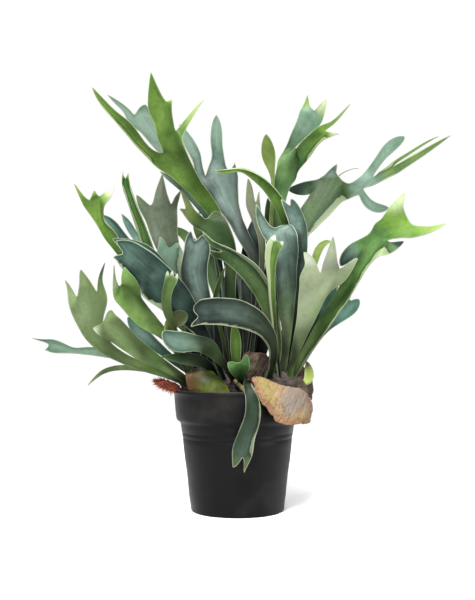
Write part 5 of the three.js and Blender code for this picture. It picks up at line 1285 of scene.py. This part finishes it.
def scattered(name, count, sizes, corner, squash):  # copies of one knobbly crumb, joined in one mesh
    clearSelection()
    bpy.ops.mesh.primitive_ico_sphere_add(subdivisions=1, radius=1, location=(0, 0, 0))
    crumb = bpy.context.object
    crumbVerts = [vertex.co.copy() for vertex in crumb.data.vertices]
    crumbFaces = [tuple(face.vertices) for face in crumb.data.polygons]
    bpy.data.objects.remove(crumb)
    verts, faces = [], []
    for _ in range(count):
        angle, away = random.uniform(0, fullTurn), soilForm["scatterRadius"] * math.sqrt(random.random())
        height = soilForm["top"] + random.uniform(0, soilForm["crumbRise"])
        spot, size = Vector((away * math.cos(angle), away * math.sin(angle), height)), random.uniform(*sizes)
        spin = Vector([random.uniform(-1, 1) for _ in range(3)]).to_track_quat("Z", "Y")
        shape = [Vector((v.x, v.y * squash, v.z * random.uniform(0.4, 0.8))) * size
                 * random.uniform(1 - corner, 1 + corner) for v in crumbVerts]
        faces += [tuple(i + len(verts) for i in face) for face in crumbFaces]
        verts += [tuple(spin @ v + spot) for v in shape]
    return meshPiece(name, verts, faces)


print("filling the pot")
finishPiece(addSoil(), "soilFill", soilFinish(), "soil", 60)
chips = scattered("barkChips", soilForm["chips"], soilForm["chipSizes"], 0.25, 0.7)
finishPiece(chips, "barkChips",
            plainFinish("barkChip", (52, 36, 26), (112, 80, 56), 160.0, 0.9, 0.0006), None, 20)
grit = scattered("whiteGrit", soilForm["grit"], soilForm["gritSizes"], 0.2, 0.9)
finishPiece(grit, "whiteGrit",
            plainFinish("whiteGritFinish", (176, 170, 158), (224, 220, 210), 300.0, 0.85, 0.0003), None, 20)

# Rhizome: crowns of [centre, size] joined by runners, ribbed and bristly
rhizomeForm = {
    "crowns": [((55, -22, 164), (31, 26, 31)), ((-1, -9, 158), (25, 24, 29)), ((-51, -13, 156), (25, 24, 27)),
               ((16, 35, 163), (38, 30, 47))],
    "runners": [(0, 1), (1, 2), (1, 3), (0, 3)], "runnerRadius": 12, "runnerDrop": 14, "voxel": 0.0019,
    "crownShare": 0.985, "ribDepth": 1.3, "ribPitch": 5.2, "ribWander": 7, "wanderSpan": 22, "ribSlant": 0.25,
    "lumpDepth": 2.2, "lumpSpan": 8, "grainDepth": 0.7, "grainSpan": 2.6, "sunk": 0.8, "most": 1.2,
    "lipHeight": 0.162, "insideLip": 0.0812, "bristles": 2600, "bristlesFrom": 0.153,
    "bristleLengths": (0.0018, 0.0048), "bristleRadius": 0.00016, "bristleSag": 0.0005,
}
hairDepth = 0.0004


def addBall(centre, size, share):
    clearSelection()
    bpy.ops.mesh.primitive_ico_sphere_add(subdivisions=5, radius=1, location=Vector(centre) * mm,
                                          scale=Vector(size) * mm * share)
    return settled(bpy.context.object)


def addRod(start, end, radius, vertices, ends="NGON"):
    middle, reach = (start + end) / 2, end - start
    clearSelection()
    bpy.ops.mesh.primitive_cylinder_add(vertices=vertices, radius=radius * mm, depth=reach.length * mm,
                                        location=middle * mm, end_fill_type=ends,
                                        rotation=reach.to_track_quat("Z", "Y").to_euler())
    return settled(bpy.context.object)


def addRhizome():
    form = rhizomeForm
    lumps = [addBall(centre, size, form["crownShare"]) for centre, size in form["crowns"]]
    for pair in form["runners"]:
        start, end = [Vector(form["crowns"][i][0]) - Vector((0, 0, form["runnerDrop"])) for i in pair]
        lumps.append(addRod(start, end, form["runnerRadius"], 32))
    clearSelection()
    for lump in lumps:
        lump.select_set(True)
    bpy.context.view_layer.objects.active = lumps[0]
    bpy.ops.object.join()
    rhizome = bpy.context.object
    applyModifier(rhizome, "REMESH", "oneBody", mode="VOXEL", voxel_size=form["voxel"])
    applyModifier(rhizome, "SMOOTH", "easedJoins", factor=0.8, iterations=6)
    normals = [vertex.normal.copy() for vertex in rhizome.data.vertices]
    for vertex, normal in zip(rhizome.data.vertices, normals):
        spot = vertex.co / mm
        wander = form["ribWander"] * noise.noise(spot / form["wanderSpan"])
        height = spot.z + wander + form["ribSlant"] * spot.x
        rib = form["ribDepth"] * (math.sin(height * fullTurn / form["ribPitch"]) - 0.6) * 0.6
        lump = noise.noise(spot / form["lumpSpan"]) * form["lumpDepth"]
        rough = lump + noise.noise(spot / form["grainSpan"]) * form["grainDepth"]
        vertex.co += normal * min(rib + rough - form["sunk"], form["most"]) * mm
        flat = Vector((vertex.co.x, vertex.co.y, 0))
        if vertex.co.z < form["lipHeight"] and flat.length > form["insideLip"]:
            flat *= form["insideLip"] / flat.length
            vertex.co.x, vertex.co.y = flat.x, flat.y
    return rhizome


def bristle(verts, faces, root, tip, radius, sag):  # a thin three-sided hair
    along, low = (tip - root).normalized(), len(verts)
    for share, size in ((0, 1), (0.5, 0.7)):
        centre = root.lerp(tip, share) - Vector((0, 0, sag * share * (1 - share)))
        verts += [tuple(point) for point in circle(centre, along, radius * size, 3)]
    verts.append(tuple(tip - Vector((0, 0, sag * 0.5))))
    faces.append((low + 2, low + 1, low))
    for k, n in ((0, 1), (1, 2), (2, 0)):
        faces.append((low + k, low + n, low + 3 + n, low + 3 + k))
        faces.append((low + 3 + k, low + 3 + n, low + 6))


def addBristles(rhizome):
    form, verts, faces = rhizomeForm, [], []
    polygons = [p for p in rhizome.data.polygons if p.center.z > form["bristlesFrom"] and p.normal.z > -0.2]
    for _ in range(form["bristles"]):
        polygon = random.choice(polygons)
        lean = Vector((random.uniform(-1, 1), random.uniform(-1, 1), random.uniform(-0.9, 0.6)))
        aim = (polygon.normal + lean * 0.8).normalized()
        root = polygon.center - polygon.normal * hairDepth
        tip = root + aim * random.uniform(*form["bristleLengths"])
        bristle(verts, faces, root, tip, form["bristleRadius"], form["bristleSag"])
    return meshPiece("rhizomeBristles", verts, faces)


def rhizomeFinish():
    bark = Finish("rhizomeBark")
    grain = bark.noise(120.0, 5.0, 0.65, 0.0, bark.stretched((1, 1, 3)))
    bark.base(bark.ranged(grain, 0.32, 0.7), (30, 20, 16), (92, 70, 58))
    bark.coat(bark.ranged(bark.noise(34.0), 0.5, 0.68, 0, 0.55), (112, 96, 88))
    return bark.done(bark.ranged(grain, 0.3, 0.7, 0.82, 0.96), grain, 0.7, 0.0012)


print("making the rhizome")
rhizome = finishPiece(addRhizome(), "rhizomeMass", rhizomeFinish(), "rhizome", 60)
finishPiece(addBristles(rhizome), "rhizomeBristles",
            plainFinish("bristleFinish", (48, 32, 24), (128, 92, 64), 90.0, 0.85, 0.0002), None, 0)

# Shield fronds: stations of [across, up, back] from where each leaves the rhizome to its free edge
shieldForms = {
    "shieldTan": {
        "skin": "dry", "slot": "shield_dry", "thickness": 0.0013, "wrinkle": 1.1, "fray": 1.6,
        "net": [
            [[36, 161, -40], [43, 161, -42], [50, 160, -44], [58, 160, -43], [66, 161, -38]],
            [[18, 180, -77], [28, 184, -75], [44, 173, -68], [62, 165, -62], [88, 162, -46]],
            [[20, 168, -84], [35, 166, -82], [52, 161, -78], [70, 158, -68], [93, 154, -44]],
            [[24, 155, -88], [40, 151, -85], [57, 148, -81], [76, 147, -68], [98, 145, -36]],
            [[33, 140, -89], [48, 138, -86], [63, 137, -80], [79, 134, -68], [98, 133, -34]],
            [[45, 128, -88], [56, 126, -85], [68, 124, -79], [82, 122, -68], [98, 121, -36]],
            [[50, 117, -88], [59, 114, -86], [68, 111, -81], [80, 113, -71], [95, 115, -42]]],
    },
    "oldShieldLeft": {
        "skin": "old", "slot": "shield_dry", "thickness": 0.0012, "wrinkle": 1.6, "fray": 2.4,
        "net": [
            [[9, 206, -30], [20, 211, -27], [32, 208, -22], [44, 201, -17], [53, 190, -14]],
            [[6, 198, -36], [19, 201, -33], [33, 198, -28], [46, 192, -24], [58, 185, -22]],
            [[8, 184, -38], [20, 186, -37], [33, 184, -34], [46, 180, -31], [58, 174, -29]],
            [[13, 166, -33], [22, 168, -33], [33, 167, -32], [45, 164, -31], [57, 160, -30]]],
    },
    "oldShieldRight": {
        "skin": "old", "slot": "shield_dry", "thickness": 0.0012, "wrinkle": 1.0, "fray": 1.0,
        "net": [
            [[70, 196, -20], [79, 195, -18], [88, 190, -12], [94, 184, -4], [96, 178, 6]],
            [[72, 184, -32], [82, 183, -28], [93, 179, -20], [99, 174, -8], [100, 168, 6]],
            [[70, 171, -42], [82, 170, -39], [94, 167, -33], [100, 163, -20], [100, 160, -4]],
            [[66, 158, -44], [79, 155, -45], [91, 151, -42], [98, 147, -34], [98, 146, -20]]],
    },
    "shieldGreen": {
        "skin": "live", "slot": "shield_live", "thickness": 0.0013, "wrinkle": 0.5, "fray": 0.6,
        "net": [
            [[-66, 186, -43], [-53, 188, -42], [-39, 186, -42], [-29, 180, -40], [-20, 170, -37]],
            [[-69, 179, -50], [-55, 181, -55], [-40, 179, -56], [-27, 174, -52], [-15, 165, -46]],
            [[-67, 168, -54], [-53, 168, -61], [-38, 167, -62], [-24, 164, -59], [-11, 158, -52]],
            [[-61, 150, -50], [-49, 150, -58], [-36, 150, -61], [-22, 150, -59], [-10, 150, -53]]],
    },
}
frayWidth = 5


def addShield(form):
    net = form["net"]
    clearSelection()
    bpy.ops.mesh.primitive_grid_add(x_subdivisions=len(net[0]) - 1, y_subdivisions=len(net) - 1, size=1)
    shield = bpy.context.object
    ordered = sorted(shield.data.vertices, key=lambda v: (-round(v.co.y, 4), round(v.co.x, 4)))
    for vertex, station in zip(ordered, [station for row in net for station in row]):
        vertex.co = placed(station) * mm
    applyModifier(shield, "SUBSURF", "rounded", levels=4, render_levels=4, boundary_smooth="PRESERVE_CORNERS")
    shape = shield.data
    uses = [key for polygon in shape.polygons for key in polygon.edge_keys]
    rim = {i for key, used in Counter(uses).items() if used == 1 for i in key}
    tree = kdtree.KDTree(len(rim))
    for i in rim:
        tree.insert(shape.vertices[i].co, i)
    tree.balance()
    normals = [vertex.normal.copy() for vertex in shape.vertices]
    margins = [tree.find(vertex.co)[2] / mm for vertex in shape.vertices]
    for vertex, normal, inward in zip(shape.vertices, normals, margins):
        spot = vertex.co / mm
        rib = abs(noise.noise(Vector((spot.x / 5 - spot.z / 9, spot.z / 26, 3)))) * 2
        crease = noise.noise(spot / 13) + 0.5 * noise.noise(spot / 5)
        vertex.co += normal * form["wrinkle"] * (0.8 * crease - 0.7 * rib + 0.3) * mm
        if inward < frayWidth:
            fine = Vector((noise.noise(spot / 3.1), 0, noise.noise(spot / 3.1 + Vector((9, 9, 9)))))
            broad = Vector((noise.noise(spot / 10), 0, noise.noise(spot / 10 + Vector((5, 5, 5)))))
            vertex.co += (fine * 0.35 + broad * 1.2) * form["fray"] * (1 - inward / frayWidth) * mm
    keepValues(shape, "margin", "FLOAT", "POINT", margins)
    applyModifier(shield, "SOLIDIFY", "leafThickness", thickness=form["thickness"], offset=0)
    return shield


def dryFinish():
    dry = Finish("dryShield", 0.15)
    ranged, times = dry.ranged, dry.times
    margin, axes = dry.kept("margin"), dry.axes()
    ribs, stitches = dry.ribs((120, 120, 46), 0.05), dry.ribs((420, 300, 90), 0.06)
    blotches, mottles = dry.noise(60.0, 5.0, 0.65), dry.noise(260.0, 4.0, 0.65)
    drift = times(dry.math("SUBTRACT", dry.noise(30.0, 3.0, 0.6), 0.5), 0.06)
    across, up = [dry.math("ADD", axes[key], drift) for key in ("X", "Z")]
    dry.base(ranged(blotches, 0.35, 0.66), (176, 145, 104), (193, 168, 129))
    greyed = times(ranged(across, 0.048, 0.066), ranged(up, 0.124, 0.146))
    dry.coat(times(greyed, 0.9), (155, 144, 133))
    green = times(ranged(across, 0.05, 0.03), ranged(blotches, 0.36, 0.6, 0.25, 0.95))
    dry.coat(green, (160, 148, 76))
    yolk = times(ranged(up, 0.136, 0.126), ranged(blotches, 0.42, 0.56, 0, 0.8))
    dry.coat(yolk, (186, 164, 98))
    pink = times(ranged(margin, 1.0, 13.0, 0.9, 0), ranged(mottles, 0.35, 0.6, 0.45, 1))
    dry.coat(pink, (156, 108, 86))
    patch = times(ranged(blotches, 0.54, 0.64), ranged(greyed, 0, 0.6, 0.75, 0.1))
    dry.coat(patch, (140, 98, 70))
    middle = times(ranged(up, 0.152, 0.146), ranged(up, 0.126, 0.132), ranged(across, 0.036, 0.044),
                   ranged(across, 0.076, 0.066))
    dry.coat(times(middle, 0.6, stitches), (70, 38, 24))
    dry.coat(times(ribs, 0.06), (112, 76, 54))
    dry.coat(ranged(mottles, 0.52, 0.7, 0, 0.5), (120, 76, 48))
    dry.coat(ranged(margin, 0.0, 0.9, 0.8, 0), (78, 44, 28))
    height = dry.math("SUBTRACT", mottles, times(ribs, 0.15))
    return dry.done(ranged(blotches, 0.3, 0.7, 0.72, 0.9), height, 0.8, 0.0014)


def oldFinish():
    old = Finish("oldShield", 0.1)
    ranged, times = old.ranged, old.times
    margin, across, blotches = old.kept("margin"), old.axes()["X"], old.noise(90.0, 5.0, 0.65)
    old.base(ranged(blotches, 0.38, 0.64), (64, 54, 42), (110, 99, 82))
    inner = times(ranged(across, 0.022, 0.036), ranged(across, 0.075, 0.06), 0.85)
    old.coat(inner, (44, 30, 24))
    old.coat(times(old.ribs((300, 200, 70), 0.07), 0.2), (28, 18, 14))
    old.coat(ranged(margin, 0.0, 2.2, 0.7, 0), (104, 50, 36))
    return old.done(ranged(blotches, 0.3, 0.7, 0.8, 0.94), blotches, 0.8, 0.003)


def liveFinish():
    live = Finish("liveShield", 0.2)
    ranged, times = live.ranged, live.times
    margin, axes = live.kept("margin"), live.axes()
    blotches, mottles = live.noise(60.0, 4.0, 0.6), live.noise(300.0, 3.0, 0.7)
    live.base(ranged(axes["Z"], 0.156, 0.18), (118, 132, 28), (52, 66, 12))
    live.coat(ranged(blotches, 0.5, 0.62, 0, 0.8), (74, 84, 22))
    rusty = times(ranged(axes["X"], -0.04, -0.062), ranged(blotches, 0.4, 0.6, 0.2, 0.9))
    live.coat(rusty, (120, 74, 30))
    live.coat(times(live.ribs((150, 150, 60), 0.04), 0.1), (50, 62, 16))
    live.coat(ranged(mottles, 0.5, 0.7, 0, 0.45), (60, 70, 20))
    live.coat(ranged(margin, 0.2, 1.2, 0.5, 0), (150, 140, 80))
    return live.done(ranged(blotches, 0.3, 0.7, 0.42, 0.6), blotches, 0.3, 0.002)


print("shaping the shield fronds")
shieldSkins = {"dry": dryFinish(), "old": oldFinish(), "live": liveFinish()}
for name, form in shieldForms.items():
    replaced = None if form["skin"] == "old" else name
    finishPiece(addShield(form), name + "Leaf", shieldSkins[form["skin"]], replaced, 60)

# Tuft of rusty fibre over the rim, and its long hairs
tuftForm = {
    "at": (-91, -24, 167), "size": (15, 9, 5.6), "share": 0.9, "slope": 0.25, "hairs": 1300,
    "hairLengths": (0.003, 0.009, 0.003), "hairSpread": (0.6, 0.8, 0.6), "hairRadius": 0.00026,
    "hairSag": 0.0012,
}


def addTuft():
    tuft = addBall(tuftForm["at"], tuftForm["size"], tuftForm["share"])
    normals = [vertex.normal.copy() for vertex in tuft.data.vertices]
    for vertex, normal in zip(tuft.data.vertices, normals):
        spot = vertex.co / mm
        vertex.co += normal * mm * (noise.noise(spot / 5) * 1.6 + noise.noise(spot / 1.8) * 0.8)
        vertex.co.z -= tuftForm["slope"] * (spot.x - tuftForm["at"][0]) * mm
    return tuft


def addTuftHairs(tuft):
    form, verts, faces = tuftForm, [], []
    shortest, longest, more = form["hairLengths"]  # hairs at the tuft's ends grow longer
    polygons = list(tuft.data.polygons)
    for _ in range(form["hairs"]):
        polygon = random.choice(polygons)
        along = (polygon.center.x / mm - form["at"][0]) / form["size"][0]
        flow = Vector((1.3 * along - 0.3, 0, -0.9 * along - 0.2))
        stray = Vector([random.uniform(-wide, wide) for wide in form["hairSpread"]])
        aim = (polygon.normal * 0.5 + flow + stray).normalized()
        root = polygon.center - polygon.normal * hairDepth
        tip = root + aim * random.uniform(shortest, longest + more * abs(along))
        bristle(verts, faces, root, tip, form["hairRadius"], form["hairSag"])
    return meshPiece("tuftHairs", verts, faces)


print("adding the fibre tuft")
rustyFibre = plainFinish("rustyFibre", (108, 38, 16), (206, 84, 36), 240.0, 0.9, 0.001)
tuft = finishPiece(addTuft(), "rustyTuft", rustyFibre, "fibreTuft", 60)
finishPiece(addTuftHairs(tuft), "tuftHairs",
            plainFinish("rustyHair", (150, 54, 24), (232, 112, 54), 120.0, 0.8, 0.0002), None, 0)

# Dead stipe that leans from the rhizome onto the soil
stipeForm = {"from": (-4, 171, -30), "to": (14, 154, -73), "radii": (2.9, 3.5), "share": 0.9, "cuts": 6}


def addStipe():
    start, end = placed(stipeForm["from"]), placed(stipeForm["to"])
    reach = end - start
    aim = reach.normalized()
    stipe = addRod(start, end, 1, 20, "TRIFAN")
    with editing(stipe):
        bpy.ops.mesh.subdivide(number_cuts=stipeForm["cuts"])
    for vertex in stipe.data.vertices:
        spot = vertex.co / mm - start
        share = spot.dot(aim) / reach.length
        side = spot - aim * spot.dot(aim)
        wanted = mixed(*stipeForm["radii"], share) * (1 - 0.35 * eased((share - 0.92) / 0.08))
        swell = 1 + 0.22 * noise.noise(spot / 4) + 0.1 * noise.noise(spot / 1.5)
        vertex.co = (start + aim * spot.dot(aim) + side * wanted * swell * stipeForm["share"]) * mm
    return stipe


finishPiece(addStipe(), "deadStipe",
            plainFinish("stipeBark", (90, 78, 40), (170, 148, 86), 130.0, 0.8, 0.0006), None, 60)

# Dried threads: points of [across, up, back] and the radius at each end
threadForms = {
    "broadUpper": {"points": [[131, 439, 52], [138, 446, 51], [148, 451, 49], [156, 453, 47], [161, 453, 45]],
                   "radii": (0.9, 0.35)},
    "rhizome": {"points": [[84, 190, -34], [87, 198, -36], [90, 204, -38], [93, 207, -39]],
                "radii": (1.4, 0.9)},
}
threadSides, threadRings = 7, 18


def addThreads():
    verts, faces = [], []
    for form in threadForms.values():
        marks, at = smoothWay([placed(point) for point in form["points"]], [1] * len(form["points"]))
        first = len(verts)
        for i in range(threadRings + 1):
            point, along, _ = at(marks[-1] * i / threadRings)
            radius = mixed(*form["radii"], i / threadRings) * (1 + 0.25 * noise.noise(point / 2.5))
            verts += [tuple(spot * mm) for spot in circle(point, along, radius, threadSides)]
        for low in range(first, first + threadRings * threadSides, threadSides):
            for k in range(threadSides):
                n = (k + 1) % threadSides
                faces.append((low + k, low + n, low + threadSides + n, low + threadSides + k))
        faces.append(tuple(range(first + threadSides - 1, first - 1, -1)))
        faces.append(tuple(range(len(verts) - threadSides, len(verts))))
    return meshPiece("driedThreads", verts, faces)


finishPiece(addThreads(), "driedThreads",
            plainFinish("threadFinish", (84, 86, 52), (150, 150, 104), 200.0, 0.8, 0.0002), None, 60)
print("all pieces made")
